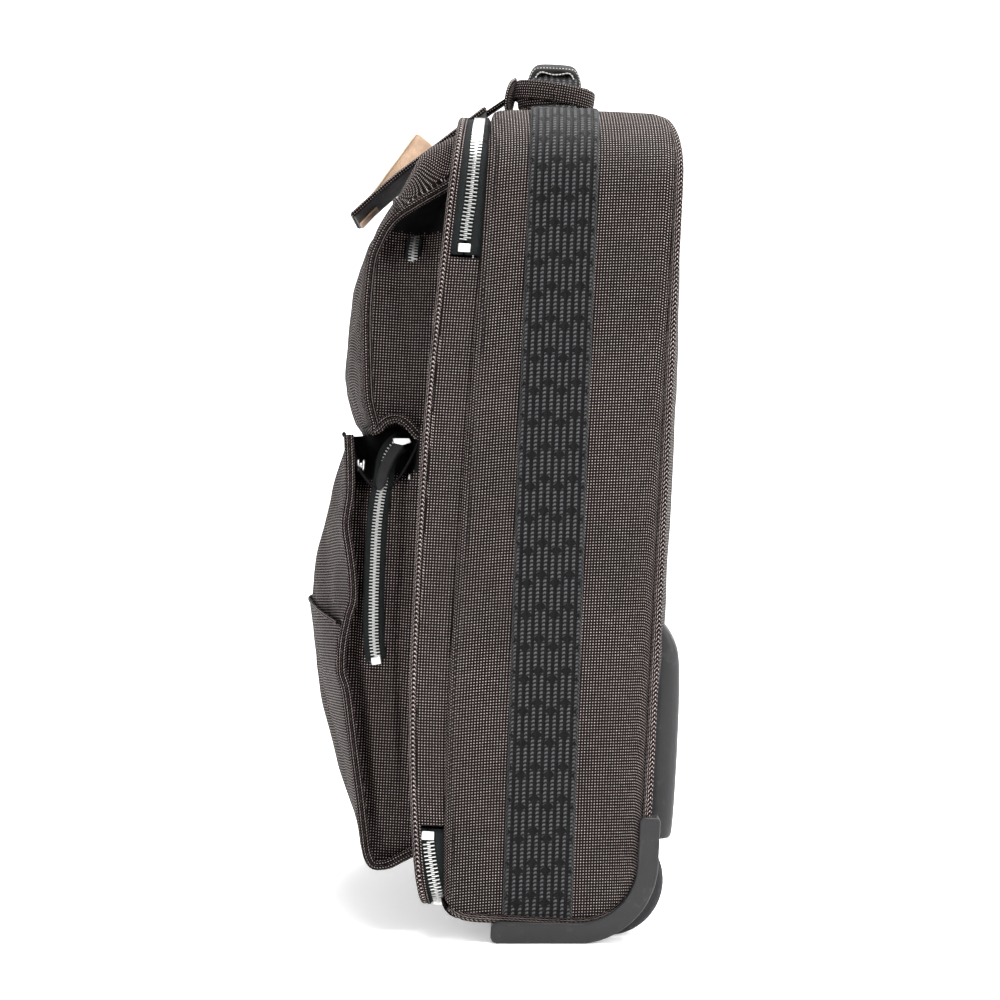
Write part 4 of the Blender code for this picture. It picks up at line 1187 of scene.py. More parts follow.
def pocket_side(name, side, edge, half, lid_low, lid_high, recess, lining=None, columns=30, count=110):
    """One side of a pocket, from the lid to the piped edge, which runs from its foot to its top."""
    places = np.linspace(0, 1, count)
    own = np.linspace(0, 1, len(edge))
    curve = np.stack([np.interp(places, own, np.asarray(edge)[:, k]) for k in (0, 1)], 1)
    rows = []
    for s, (edge_y, edge_z) in zip(places, curve):
        lid_z = lid_low + (lid_high - lid_low) * s
        lid_y = lid_face_y(side * half, lid_z) - 1.0
        row = []
        for j in range(columns + 1):
            t = j / columns
            y, z = lid_y + (edge_y - lid_y) * t, lid_z + (edge_z - lid_z) * t
            x = half - recess(t, y, z) + 0.5 * ripple(side * 40, y, z, 13) * math.sin(math.pi * t)
            row.append((side * x, min(y, lid_face_y(side * x, z) - 1.0), z))
        rows.append(row)
    obj = sheet(name, rows, inside=(0, -85, (lid_low + lid_high) / 2))
    flat_weave(obj, from_side=True)
    obj.data.materials.append(FINISH["cloth"])
    obj.data.materials.append(FINISH["lining"])
    # lining picks the faces that get the black lining material: on the upper pocket this is painted shade under the
    # flap, on the lower pocket partly its real lining and partly painted shade in its mouth
    if lining:
        coords = [(WORLD_TO_CASE @ v.co) / MM for v in obj.data.vertices]
        for polygon in obj.data.polygons:
            middle = sum((coords[i] for i in polygon.vertices), Vector()) / len(polygon.vertices)
            polygon.material_index = int(lining(middle))
    return thicken(obj, 1.2)


UPPER_SHADE_Z = 431  # above this height the upper pocket's side gets the black lining material: painted shade under the flap


def build_upper_pocket():
    fronts = {s: [(p[0], p[1]) for p in rounded_path([(a, b, 0) for a, b in UPPER_EDGE[s]], 6)] for s in (-1, 1)}
    half = UPPER_HALF - 0.6
    rows = pocket_front("upper", fronts, half, upper_stand, upper_hump)
    front = sheet("upper_front_cloth", rows, inside=(0, -60, 380))
    settle(front, edge_weights(len(rows), len(rows[0])), -0.6, slack=0.012, cap=4)
    subdivide(thicken(front, 1.4), 1)
    fix(front, "lid", "cloth", ("upper_pocket_front",))
    build_flap(fronts, half)

    def recess(t, y, z):
        deep = 8.5 * math.sin(math.pi * min(1.0, t * 1.02)) ** 0.7
        shade = 24.0 * smooth_step(400, 440, z) * math.sin(math.pi * t) ** 0.6
        fold = 2.6 * math.exp(-(((y + 84 + (z - 400) * 0.25) / 5) ** 2)) * smooth_step(330, 380, z)
        tuck = 1.8 * math.exp(-(((z - 388 - (y + 90) * 0.5) / 7) ** 2)) * math.sin(math.pi * t)
        return 1.0 + deep * 0.6 + shade + fold + tuck

    for name, side in SIDES:
        edge = [(p[0], p[1]) for p in rounded_path([(a, b, 0) for a, b in UPPER_FOOT[side] + UPPER_EDGE[side][::-1][1:]], 6)]
        # Faces high on the side, under the flap, get the black lining material: painted shade.
        obj = pocket_side("upper_side_" + name, side, edge, UPPER_HALF, edge[0][1], edge[-1][1], recess,
                          lambda place: place.z > UPPER_SHADE_Z)
        fix(obj, "lid", None, ("upper_pocket_gusset",) if side > 0 else ())
        rolls = edge_rolls("upper_edge_" + name, side, edge, UPPER_HALF - 0.8)
        fix(rolls, "lid", None, ("upper_pocket_piping",) if side > 0 else ())
    build_upper_bottom()
    build_upper_zip()


def build_upper_front(curve):
    path = resample([(y, z) for y, z in curve], 5)
    half = UPPER_HALF - 2.0
    columns = 50
    rows = []
    for y, z in path:
        row = []
        fullness = smooth_step(470, 400, z) if False else 1 - smooth_step(400, 472, z)
        for j in range(columns + 1):
            u = -1 + 2 * j / columns
            round_off = 1 - abs(u) ** 2.6
            swell = (4.0 + 6.5 * (1 - smooth_step(300, 400, z))) * fullness * round_off
            crease = 1.0 * ripple(u * 60, 0, z * 1.6, 26) * round_off
            row.append((u * half, y - swell + crease, z + 0.8 * ripple(u * 90, y, z, 30) * round_off))
        rows.append(row)
    obj = sheet("upper_front_cloth", rows, inside=(0, -60, 380))
    settle(obj, edge_weights(len(path), columns + 1), -0.6, slack=0.012, cap=4)
    subdivide(thicken(obj, 1.4), 1)
    fix(obj, "lid", "cloth", ("upper_pocket_front",))


def build_upper_bottom():
    """The upper pocket's floor, sagging softly in the middle and pushed forward towards its front."""
    count, columns = 26, 40
    rows = [[] for _ in range(count)]
    for j in range(columns + 1):
        u = -1 + 2 * j / columns
        curve = blended_curve(UPPER_FOOT, (u + 1) / 2, count)
        for i, row in enumerate(rows):
            t = i / (count - 1)
            y, z = curve[i]
            ahead = 11.0 * (1 - abs(u) ** 2.4) * t * t
            sag = 2.5 * (1 - u * u) * math.sin(math.pi * t)
            row.append((u * (UPPER_HALF - 1), min(y, -63.0) - ahead, z - sag + 0.6 * ripple(u * 80, y, 1, 15)))
    obj = sheet("upper_bottom_cloth", rows, inside=(0, -85, 380))
    fix(thicken(obj, 1.6), "lid", "cloth")


def build_flap(fronts, half):
    """The flap over the upper pocket's mouth: a padded lip that ends in a rolled hem."""
    reach = 0.215
    short = {}
    for side in (-1, 1):
        curve = resample(fronts[side], 1.0)
        short[side] = curve[: int(len(curve) * reach)]

    def stand(s, side):
        return upper_stand(s * reach, side) + 2.0 + 0.8 * math.sin(math.pi * s) ** 0.7

    def hump(s):
        return upper_hump(s * reach) + 0.8 * math.sin(math.pi * s)

    rows = pocket_front("flap", short, half + 1.6, stand, hump, count=26, power=3.4, wrinkle=0.7)
    obj = sheet("upper_flap_cloth", rows, inside=(0, -60, 440))
    subdivide(thicken(obj, 2.0), 1)
    fix(obj, "lid", "cloth", ("upper_pocket_flap",))
    hem = [(x, y - 0.2, z - 0.4) for x, y, z in rows[-1]]
    cord = sweep("upper_flap_hem", [tuple(p) for p in resample(hem, 3)], circle(1.7, 10), first=(0, 0, 1))
    fix(cord, "lid", "cloth")


def strip_course(points, x_of, side):
    """3-D course on a pocket's side from (y, z) points."""
    return [(side * x_of(y, z), y, z) for y, z in points]


def pocket_zip(name, course, outs, width, ends=(True, True)):
    """A closed zip: its tape, two rows of teeth and end stops, as pieces in a list."""
    course, outs = np.asarray(course, float), np.asarray(outs, float)
    joint = resample(np.hstack([course, outs]), 3.0)
    places, outward = joint[:, :3], joint[:, 3:]
    outward /= np.linalg.norm(outward, axis=1, keepdims=True)
    ahead = np.gradient(places, axis=0)
    ahead /= np.linalg.norm(ahead, axis=1, keepdims=True)
    across = np.cross(ahead, outward)
    rows = [[tuple(p + a * w + n * h) for w, h in ((-width, -0.7), (-width * 0.5, 0.0), (0, 0.1), (width * 0.5, 0.0), (width, -0.7))]
            for p, a, n in zip(places, across, outward)]
    tape = thicken(sheet(name + "_tape", rows, inside=(0, -85, 250)), 0.8)
    tape.data.materials.append(FINISH["zip_tape"])
    size = TEETH["pocket"]
    parts = []
    for half, sign, shift in (("a", 1, 0.0), ("b", -1, 0.5)):
        verts, faces = tooth_mesh(size)
        steps = resample(joint, TOOTH_PITCH * size)
        all_verts, all_faces = [], []
        for i in range(len(steps) - 1):
            mid = steps[i] * (1 - shift) + steps[i + 1] * shift
            forward = steps[i + 1][:3] - steps[i][:3]
            forward /= np.linalg.norm(forward)
            out = mid[3:] / np.linalg.norm(mid[3:])
            toward = np.cross(forward, out) * sign
            lap = (TOOTH_LAP - TOOTH_LENGTH) * size
            base = len(all_verts)
            all_verts += [tuple(mid[:3] + forward * a + toward * (b + lap) + out * (c - 0.3)) for a, b, c in verts]
            all_faces += [[base + k for k in f] for f in faces]
        teeth = link_mesh(name + "_teeth_" + half, all_verts, all_faces, smooth=False)
        teeth.data.materials.append(FINISH["zip_metal"])
        parts.append(teeth)
    for end, wanted in zip((0, -1), ends):
        if wanted:
            place, out = Vector(places[end]), Vector(outward[end])
            forward = Vector(ahead[end])
            side = forward.cross(out)
            turn = Matrix((side, forward, out)).transposed().to_4x4()
            outline = [(-3.1, -2.4, -0.3), (3.1, -2.4, -0.3), (3.1, 2.4, -0.3), (-3.1, 2.4, -0.3)]
            stop = slab(name + "_stop", outline, (0, 0, 1), 2.4, origin=place, turn=turn, rounding=0.6)
            stop.data.materials.append(FINISH["zip_metal"])
            parts.append(stop)
    return tape, parts


def build_upper_zip():
    for name, side in SIDES:
        points = rounded_path([(p[0], p[1], 0) for p in UPPER_ZIP[side]], 5)
        inset = 11.5 if side > 0 else 6.5
        if side > 0:
            # The right zip ends where the painted shade under the flap begins.
            points = [p for p in points if p[1] < UPPER_SHADE_Z]
        course = [(side * (UPPER_HALF - inset - 14.0 * smooth_step(412, 450, z)), y, z) for y, z, _ in points]
        tape, parts = pocket_zip("upper_zip_" + name, course, [(side, 0, 0)] * len(course), 5.0, (False, False))
        fix(tape, "lid", None, ("upper_pocket_zip",) if side > 0 else ())
        fix(joined("upper_zip_metal_" + name, parts), "lid", None, ())


def lower_recess(t, y, z):
    """How far the lower pocket's side folds in, from the lid (0) to the piped edge (1)."""
    near_front = 15.0 * math.exp(-(((t - 0.85) / 0.12) ** 2))
    near_lid = 3.5 * math.exp(-(((t - 0.2) / 0.07) ** 2)) * smooth_step(60, 120, z)
    line = mouth_line(t)
    mouth = 34.0 * smooth_step(line - 10, line + 12, z) * (1 - smooth_step(0.94, 1.0, t)) * smooth_step(0.06, 0.2, t)
    hollow = 4.0 * math.sin(math.pi * t) ** 0.6
    return 1.0 + near_front * (0.3 + 0.7 * smooth_step(36, 120, z)) + near_lid + hollow + mouth


def build_lower_pocket():
    edge = [(p[0], p[1]) for p in rounded_path([(a, b, 0) for a, b in LOWER_FOOT + LOWER_EDGE[::-1][1:]], 6)]
    for name, side in SIDES:
        # Above the mouth line the side gets the black lining material: partly real lining, partly painted shade.
        obj = pocket_side("lower_side_" + name, side, edge, LOWER_HALF, edge[0][1], 310, lower_recess,
                          lower_is_lining_and_shade, columns=44, count=150)
        fix(obj, "lid", None, ("lower_pocket_gusset",) if side > 0 else ())
        rolls = edge_rolls("lower_edge_" + name, side, edge, LOWER_HALF - 0.8)
        fix(rolls, "lid", None, ("lower_pocket_piping",) if side > 0 else ())
    build_lower_front()
    build_lower_bottom()
    build_lower_top()
    build_lower_zip()
    build_parked_pull()
    build_snaps()


def lower_front_point(u, z, half, lift):
    """A point of the lower pocket's bulging front. lift stands off it."""
    edge = float(np.interp(z, *LOWER_LINE))
    middle = float(np.interp(z, *LOWER_MIDDLE))
    crease = (1.2 * ripple(u * 70, 4, z * 1.2, 30) + 0.5 * ripple(u * 140, 4, z, 12)) * max(0.0, 1 - u**4)
    return (u * half, edge + 0.6 + (middle - edge) * (1 - abs(u) ** 2.4) + crease - lift, z)




def build_lower_front():
    half = LOWER_HALF - 1.0
    heights = np.arange(40, 304, 4.0)
    columns = 56
    rows = [[lower_front_point(-1 + 2 * j / columns, z, half, 0) for j in range(columns + 1)] for z in heights]
    obj = sheet("lower_front_cloth", rows, inside=(0, -60, 180), start=[40] * (columns + 1))
    settle(obj, edge_weights(len(heights), columns + 1), -0.5, slack=0.01, cap=4)
    subdivide(thicken(obj, 1.4), 1)
    fix(obj, "lid", "cloth", ("lower_pocket_front",))
    build_slip_pocket(half, columns)


def build_lower_bottom():
    """The lower pocket's floor; it folds up in a wave towards the lid."""
    path = rounded_path([(a, b, 0) for a, b in LOWER_FOOT[::-1]], 5)
    rows = [[((-1 + 2 * j / 40) * (LOWER_HALF - 1), y, z + 0.8 * ripple(j * 6, y, z, 24)) for j in range(41)]
            for y, z, _ in path]
    obj = sheet("lower_bottom_cloth", rows, inside=(0, -75, 180))
    fix(subdivide(thicken(obj, 1.6), 1), "lid", "cloth")


def build_lower_edge(curve):
    """Two rolls of cloth side by side along the front's edge."""
    path = resample(curve, 4)
    radius = 2.2
    x = LOWER_HALF - radius + 0.5
    rolls = (("lower_piping_cord", x, radius, "cloth"), ("lower_edge_roll", x - 4.4, radius, "cloth"))
    for name, place, size, finish in rolls:
        left = [(-place, y - 0.4, z) for y, z in path]
        foot = [(-place + 4, left[-1][1] + 0.5, left[-1][2] - 2.5), (place - 4, left[-1][1] + 0.5, left[-1][2] - 2.5)]
        points = left + foot + [(-a, b, c) for a, b, c in reversed(left)]
        smoothed = resample(rounded_path(points, 2), 4)
        obj = sweep(name, [tuple(p) for p in smoothed], circle(size, 12), first=(0, 1, 0))
        fix(obj, "lid", finish, ("lower_pocket_piping",) if name == "lower_piping_cord" else ())


def build_lower_top():
    """The dark mouth of the lower pocket: lining that sags between the stiff front hem and the lid. Its black is partly
    the real lining and partly painted shade in the mouth.
    """
    rows = []
    for t in np.linspace(0, 1, 22):
        y = -62.8 - 46.2 * t
        row = []
        for j in range(45):
            u = -1 + 2 * j / 44
            sag = 30.0 * math.sin(math.pi * min(1, t * 1.02)) ** 0.7
            row.append((u * (LOWER_HALF - 4), y, 310 - 11 * smooth_step(0, 0.5, t) - sag + 1.0 * ripple(u * 90, y, 5, 18)))
        rows.append(row)
    obj = sheet("lower_top_lining", rows, inside=(0, -85, 180))
    fix(thicken(obj, 1.4), "lid", "lining", ("lower_pocket_top",))
    hem = [(u / 30 * (LOWER_HALF - 2.5), -111.3 - 3.0 * (1 - (u / 30) ** 4), 301.6 - 1.0 * (1 - (u / 30) ** 2)) for u in range(-30, 31)]
    fix(sweep("lower_mouth_hem", hem, circle(1.3, 10), first=(0, 0, 1)), "lid", "cloth")


def build_lower_zip():
    """The lower pocket's zip runs up both sides and bends back at the mouth."""
    for name, side in SIDES:
        points = rounded_path([(a, b, 0) for a, b in LOWER_ZIP[side]], 6)
        course = [(side * zip_x(side, y, z), y, z) for y, z, _ in points]
        tape, parts = pocket_zip("lower_zip_" + name, course, [(side, 0, 0)] * len(course), 6.6, (True, False))
        fix(tape, "lid", None, ("lower_pocket_zip",) if side > 0 else ())
        fix(joined("lower_zip_metal_" + name, parts), "lid", None, ())


def build_snaps():
    """Press studs: one pair inside each end of the mouth, a small one by the lid, and one on the flap."""
    pieces = []
    for _, side in SIDES:
        x = side * (LOWER_HALF - 8)
        pieces += [disc_along_y((x, -102.2, 282.5), 4.0, 1.8), disc_along_y((x, -98.9, 282.5), 4.0, 1.8)]
        pieces.append(disc_along_y((x, -100.5, 282.5), 2.0, 3.0))
        pieces.append(disc_along_y((side * (LOWER_HALF - 5), -70, 277), 1.7, 1.4))
    fix(joined("mouth_studs", pieces), "lid", "zip_metal")
    snap = span("snap_button")
    centre = (snap[0] + snap[1]) / 2
    rows = []
    for r, h in ((0.05, 3.0), (3.0, 2.9), (5.2, 2.3), (6.0, 1.2), (6.0, -0.6)):
        rows.append([(centre.x + r * math.cos(a), centre.y + r * math.sin(a), centre.z - 1.5 + h)
                     for a in np.linspace(0, 2 * math.pi, 33)[:-1]])
    obj = sheet("mouth_snap", rows, closed=True, inside=tuple(centre - Vector((0, 0, 3))))
    fix(thicken(obj, 0.6), "lid", "zip_metal", ("snap_button",))


def turned_cap(name, centre, radius, side):
    """A small domed rivet head facing sideways."""
    rows = []
    for k, h in ((0.02, 1.7), (0.35, 1.6), (0.7, 1.15), (0.94, 0.5), (1.0, 0.0), (0.98, -0.8)):
        rows.append([(centre[0] + side * h, centre[1] + radius * k * math.cos(a), centre[2] + radius * k * math.sin(a))
                     for a in np.linspace(0, 2 * math.pi, 25)[:-1]])
    return thicken(sheet(name, rows, closed=True, inside=(0, centre[1], centre[2])), 0.4)


# ---------------------------------------------------------------- sliders and pulls


def puller_frame(node_prefix, along, outward):
    """The turn and origin of a slider, from where its CAD solid stands."""
    low, high = span(node_prefix + "_slider")
    along, outward = Vector(along), Vector(outward)
    centre = (low + high) / 2 - outward * 1.5
    turn = Matrix((along.cross(outward), along, outward)).transposed().to_4x4()
    return turn, centre


def build_puller(prefix, along, outward, with_tab):
    """A zip slider with its bridge, a pierced metal pull and, on the pocket zips, a leather tab."""
    turn, centre = puller_frame(prefix, along, outward)

    def part(outline, z0, thick, rounding=0.5):
        return slab("part", [(a, b, z0) for a, b in outline], (0, 0, 1), thick, origin=centre, turn=turn,
                    rounding=rounding)

    wedge = [(-3.0, -6.2), (3.0, -6.2), (3.4, -2), (4.6, 3.4), (4.4, 6.0), (1.2, 6.2), (0, 4.6), (-1.2, 6.2),
             (-4.4, 6.0), (-4.6, 3.4), (-3.4, -2)]
    pieces = [part(wedge, 1.5, 1.6, 0.55), part([(a * 0.9, b * 0.95) for a, b in wedge], -1.2, 1.0, 0.3)]
    bridge = [(0, -4.6, 2.6), (0, -4.2, 4.6), (0, -2.6, 6.6), (0, 0, 7.3), (0, 2.6, 6.4), (0, 3.8, 4.4), (0, 4.0, 2.6)]
    path = [tuple(centre + turn.to_3x3() @ Vector(p)) for p in rounded_path(bridge, 4)]
    loop = sweep("bridge", path, [(-1.1, -0.5), (1.1, -0.5), (1.1, 0.5), (-1.1, 0.5)], first=tuple(turn.to_3x3() @ Vector((0, 1, 0))))
    pieces.append(loop)
    fix(joined(prefix + "_slider_metal", pieces), prefix_body(prefix, "slider"), "zip_metal", (prefix + "_slider",))

    plate_z, thick = 4.3, 1.8
    ring = [(-3.0, -12.5), (-2.9, -3.4), (-2.2, -1.6), (-0.9, -0.7), (0.9, -0.7), (2.2, -1.6), (2.9, -3.4), (3.0, -12.5)]
    hole = [(-1.5, -11.0), (1.5, -11.0), (1.5, -3.6), (0.7, -2.6), (-0.7, -2.6), (-1.5, -3.6)]
    body = [(-3.0, -12.5), (3.0, -12.5), (3.9, -19), (4.5, -27.4), (-4.5, -27.4), (-3.9, -19)]
    slot = [(-4.5, -27.4), (-4.5, -32.0), (-3.0, -32.0), (-3.0, -29.6), (3.0, -29.6), (3.0, -32.0), (4.5, -32.0), (4.5, -27.4)]
    pieces = [pierced("eye", ring, hole, plate_z, thick, centre, turn), part(body, plate_z, thick, 0.5)]
    if with_tab:
        slot = [(-4.5, -27.2), (-4.5, -32.2), (-3.2, -32.2), (-3.2, -28.8), (3.2, -28.8), (3.2, -32.2), (4.5, -32.2), (4.5, -27.2)]
        pieces.append(part(slot, plate_z, thick, 0.4))
    else:
        end = [(-4.5, -27.2), (-4.2, -30.6), (-3.0, -32), (3.0, -32), (4.2, -30.6), (4.5, -27.2)]
        pieces.append(part(end, plate_z, thick, 0.5))
    fix(joined(prefix + "_pull_metal", pieces), prefix_body(prefix, "pull"), "zip_metal", (prefix + "_pull",))

    if with_tab:
        outline = [(-2.9, -29.0), (-3.0, -33), (-4.6, -42), (-5.4, -51.6), (-3.0, -55.2), (0, -58.6), (3.0, -55.2),
                   (5.4, -51.6), (4.6, -42), (3.0, -33), (2.9, -29.0)]
        tab = part(outline, plate_z + 0.05, 1.7, 0.5)
        fix(tab, prefix_body(prefix, "pull"), "leather_black", (prefix + "_tab",))
        inner = [(a * 0.76, b * 0.955 - 1.6) for a, b in outline]
        for level, tag in ((plate_z + 1.72, "front"), (plate_z + 0.02, "back")):
            seam = [tuple(centre + turn.to_3x3() @ Vector((a, b, level))) for a, b in inner]
            threads = stitches(prefix + "_tab_stitch_" + tag, seam, closed=True, length=1.5, gap=0.55, radius=0.16)
            fix(threads, prefix_body(prefix, "pull"), "thread_dark", ())


def prefix_body(prefix, part):
    """Body names drop the word zip: upper_slider, upper_pull and so on."""
    return prefix.replace("_zip", "") + "_" + part


def pierced(name, ring, hole, z0, thick, centre, turn):
    """A plate with one hole, built as a ring of quads between two outlines."""
    count = 24
    outer = resample([(a, b) for a, b in ring], 1, closed=True)
    outer = resample(outer, perimeter(outer) / count, closed=True)[:count]
    inner = resample([(a, b) for a, b in hole], 1, closed=True)
    inner = resample(inner, perimeter(inner) / count, closed=True)[:count]
    shift = int(np.argmin(np.linalg.norm(inner - outer[0], axis=1)))
    inner = np.roll(inner, -shift, axis=0)
    if np.linalg.norm(inner[1] - outer[1]) > np.linalg.norm(inner[-1] - outer[1]):
        inner = np.roll(inner[::-1], 1, axis=0)
    levels = ((outer, z0), (outer, z0 + thick), (inner, z0 + thick), (inner, z0))
    rows = []
    for loop, z in levels + levels[:1]:
        rows.append([tuple(centre + turn.to_3x3() @ Vector((a, b, z))) for a, b in loop])
    obj = sheet(name, rows, closed=True)
    bm = bmesh.new()
    bm.from_mesh(obj.data)
    bmesh.ops.remove_doubles(bm, verts=bm.verts, dist=1e-6)
    bmesh.ops.recalc_face_normals(bm, faces=bm.faces)
    bm.to_mesh(obj.data)
    bm.free()
    return soften(obj, 0.4, 2)


def perimeter(loop):
    loop = np.asarray(loop)
    return float(np.linalg.norm(loop - np.roll(loop, -1, axis=0), axis=1).sum())


# ---------------------------------------------------------------- stitching


def stitches(name, path, closed=False, length=STITCH_LENGTH, gap=STITCH_GAP, radius=THREAD_R):
    """A line of thread stitches: short rounded beads along a path."""
    path = np.asarray(path, float)
    course = resample(path, length + gap, closed)
    ring = [(math.cos(a), math.sin(a)) for a in np.linspace(0, 2 * math.pi, 6)[:-1]]
    stations = ((-0.5, 0.25), (-0.36, 1.0), (0.36, 1.0), (0.5, 0.25))
    verts, faces = [], []
    count = len(course) if closed else len(course) - 1
    for i in range(count):
        a, b = Vector(course[i]), Vector(course[(i + 1) % len(course)])
        ahead = (b - a).normalized()
        side = ahead.cross(Vector((0.37, 0.53, 0.76))).normalized()
        up = ahead.cross(side)
        middle = (a + b) / 2
        base = len(verts)
        for s, k in stations:
            verts += [middle + ahead * s * length + (side * c + up * d) * radius * k for c, d in ring]
        faces += [[base + 4 - j for j in range(5)], [base + 15 + j for j in range(5)]]
        for s in range(3):
            for j in range(5):
                m = (j + 1) % 5
                faces.append([base + s * 5 + j, base + s * 5 + m, base + s * 5 + 5 + m, base + s * 5 + 5 + j])
    uvs = [(verts[i].x + verts[i].y, verts[i].z) for f in faces for i in f]
    return link_mesh(name, [tuple(v) for v in verts], faces, uvs)


def arch_line(y, off, inset=0.0):
    """A line over the gusset at a depth, off its cloth by a distance."""
    line = []
    for x, z, nx, nz in arch_points(HALF_W, gusset_foot(y) + 2, gusset_top(y), TOP_R):
        out = gusset_swell(x, y, z) + off - inset
        line.append((x + nx * out, y, z + nz * out))
    return line


def build_stitching():
    lines = []
    for inset in (3.4, 5.6):
        line = []
        for x, z, nx, nz in arch_points(HALF_W, BOTTOM + 8, gusset_top(SEAM_Y), TOP_R):
            y = seam_y(x, z) + inset
            out = gusset_swell(x, y, z) + 0.05
            line.append((x + nx * out, y, z + nz * out))
        lines.append(stitches("line", line))
    for share in (0.035, 0.965):
        line = []
        for x, z, nx, nz in arch_points(HALF_W, BOTTOM + 3, gusset_top(17), TOP_R):
            y = webbing_y(share, x, z)
            out = gusset_swell(x, y, z) + 1.55
            line.append((x + nx * out, y, z + nz * out))
        lines.append(stitches("line", line))
    fix(joined("case_stitching", lines), "case", "thread_dark", ())


# ---------------------------------------------------------------- handle and tag


def build_handle():
    strap, pad = span("carry_handle_strap"), span("carry_handle_pad")
    y0, y1 = strap[0].y + 2.0, strap[1].y - 2.0
    run, seat, top = strap[1].x, strap[0].z, pad[1].z - 6.5
    path = [(-run, seat + 1.4), (-run + 14, seat + 1.4), (-62, seat + 7), (-50, top - 16), (-42, top - 5), (-30, top)]
    path += [(0, top + 0.6)] + [(-x, z) for x, z in reversed(path)]
    path = resample(rounded_path([(a, b, 0) for a, b in path], 6), 2.5)[:, :2]
    ribs = 8
    profile = [(y0 + (y1 - y0) * k / (ribs * 4), 0.4 * abs(math.sin(math.pi * k / 4))) for k in range(ribs * 4 + 1)]
    fix(thicken(band("carry_strap", path, profile), 2.0), "case", "webbing", ("carry_handle_strap",))

    crosses = []
    for side in (-1, 1):
        x0, x1 = side * (run - 3), side * (run - 15)
        box = [(x0, y0 + 4, seat + 2.4), (x0, y1 - 4, seat + 2.4), (x1, y1 - 4, seat + 2.4), (x1, y0 + 4, seat + 2.4)]
        crosses.append(stitches("box", box, closed=True))
        crosses += [stitches("cross", [box[0], box[2]]), stitches("cross", [box[1], box[3]])]
    fix(joined("handle_stitching", crosses), "case", "thread_pale", ())
    build_pad(pad)


def build_pad(pad):
    """The padded grip: folded over the strap, with scalloped, piped and stitched edges."""
    middle_y = (pad[0].y + pad[1].y) / 2
    half, top = (pad[1].y - pad[0].y) / 2 - 3.6, pad[1].z - 6.2
    length = pad[1].x + 5
    stations = np.linspace(-1, 1, 61)
    outlines = []
    for k in stations:
        x = k * length
        scallop = 1 + 0.03 * math.cos(k * math.pi * 4)
        sink = 4.0 * smooth_step(0.72, 1.0, abs(k))
        row = []
        for a in np.linspace(-1, 1, 25):
            turn = a * 1.9
            y = middle_y + (half - 1.5) * math.copysign(min(1.0, abs(math.sin(min(abs(turn), math.pi / 2)))) ** 0.8, a) * scallop
            drop = 11.5 * (max(0.0, abs(a) - 0.40) / 0.60) ** 1.3 * (1 + 0.12 * math.cos(k * math.pi * 4))
            crown = 3.4 * (1 - a * a)
            row.append((x, y, top + crown - drop - sink))
        outlines.append(row)
    obj = sheet("carry_pad", outlines, inside=(0, middle_y, top - 30))
    subdivide(thicken(obj, 3.4, offset=0.6), 1)
    fix(obj, "case", "handle_pad", ("carry_handle_pad",))
    hems = []
    for index in (0, -1):
        edge = [row[index] for row in outlines]
        hems.append(sweep("hem", [(a, b, c - 0.8) for a, b, c in edge], circle(1.7, 8), first=(0, 1, 0)))
    for row in (outlines[0], outlines[-1]):
        hems.append(sweep("hem", [tuple(p) for p in resample(row, 2)], circle(1.9, 8), first=(1, 0, 0)))
    fix(joined("carry_pad_hems", hems), "case", "handle_pad")
    lines = []
    for index in (5, 19):
        seam = [(x, y + (0.5 if index > 12 else -0.5) * 1.0, z + 2.3) for x, y, z in (row[index] for row in outlines[2:-2])]
        lines.append(stitches("line", seam, length=1.9, gap=0.7))
    for sign, row in ((-1, outlines[0]), (1, outlines[-1])):
        wave = []
        for i, (x, y, z) in enumerate(row):
            wave.append((x + sign * 1.9, y * 0.93 + middle_y * 0.07, z - 2.0 + 0.95 * math.cos(i / 24 * math.pi * 6)))
        lines.append(stitches("wave", [tuple(p) for p in resample(wave, 1.5)], length=2.0, gap=0.25, radius=0.5))
        rim = [(x + sign * 0.8, y + (y - middle_y) * 0.10, z + 1.7) for x, y, z in row]
        lines.append(stitches("rim", [tuple(p) for p in resample(rim, 1.5)], length=1.2, gap=0.9, radius=0.3))
    fix(joined("carry_pad_stitching", lines), "case", "thread_pale", ())


def build_tag_loop():
    """The tag's strap is wound round the handle's right leg and knotted in front of it."""
    low, high = span("tag_loop")
    centre, reach = (low + high) / 2, (high - low) / 2
    height = 13.0
    for k, (lean, grow, lift) in enumerate(((0.10, 1.0, 0.0), (-0.22, 1.10, 2.0))):
        path = []
        for a in np.linspace(0, 2 * math.pi, 49)[:-1]:
            y = centre.y + (reach.y * grow - 1) * math.sin(a)
            x = centre.x + (reach.x * grow - 1) * math.cos(a)
            path.append((x, y, centre.z - 1.5 + lift + lean * (y - centre.y) * 0.5))
        half = height / 2
        section = [(-0.9, -half), (0.9, -half), (1.1, 0), (0.9, half), (-0.9, half), (-0.7, 0)]
        obj = sweep("tag_wrap_%d" % (k + 1), path, section, closed=True, first=(0, 0, 1))
        fix(subdivide(obj, 1), "case", "cloth", ("tag_loop",) if k == 0 else ())
    knot = [(centre.x - 3, low.y - 1.5, centre.z + 6), (centre.x + 4, low.y - 4.5, centre.z + 2),
            (centre.x + 3, low.y - 5.5, centre.z - 5), (centre.x - 4, low.y - 3, centre.z - 7)]
    section = [(-6.5, -1.2), (6.5, -1.2), (7, 0), (6.5, 1.2), (-6.5, 1.2), (-7, 0)]
    obj = sweep("tag_knot", rounded_path(knot, 6), section, first=(0, -1, 0))
    fix(subdivide(obj, 1), "case", "cloth")


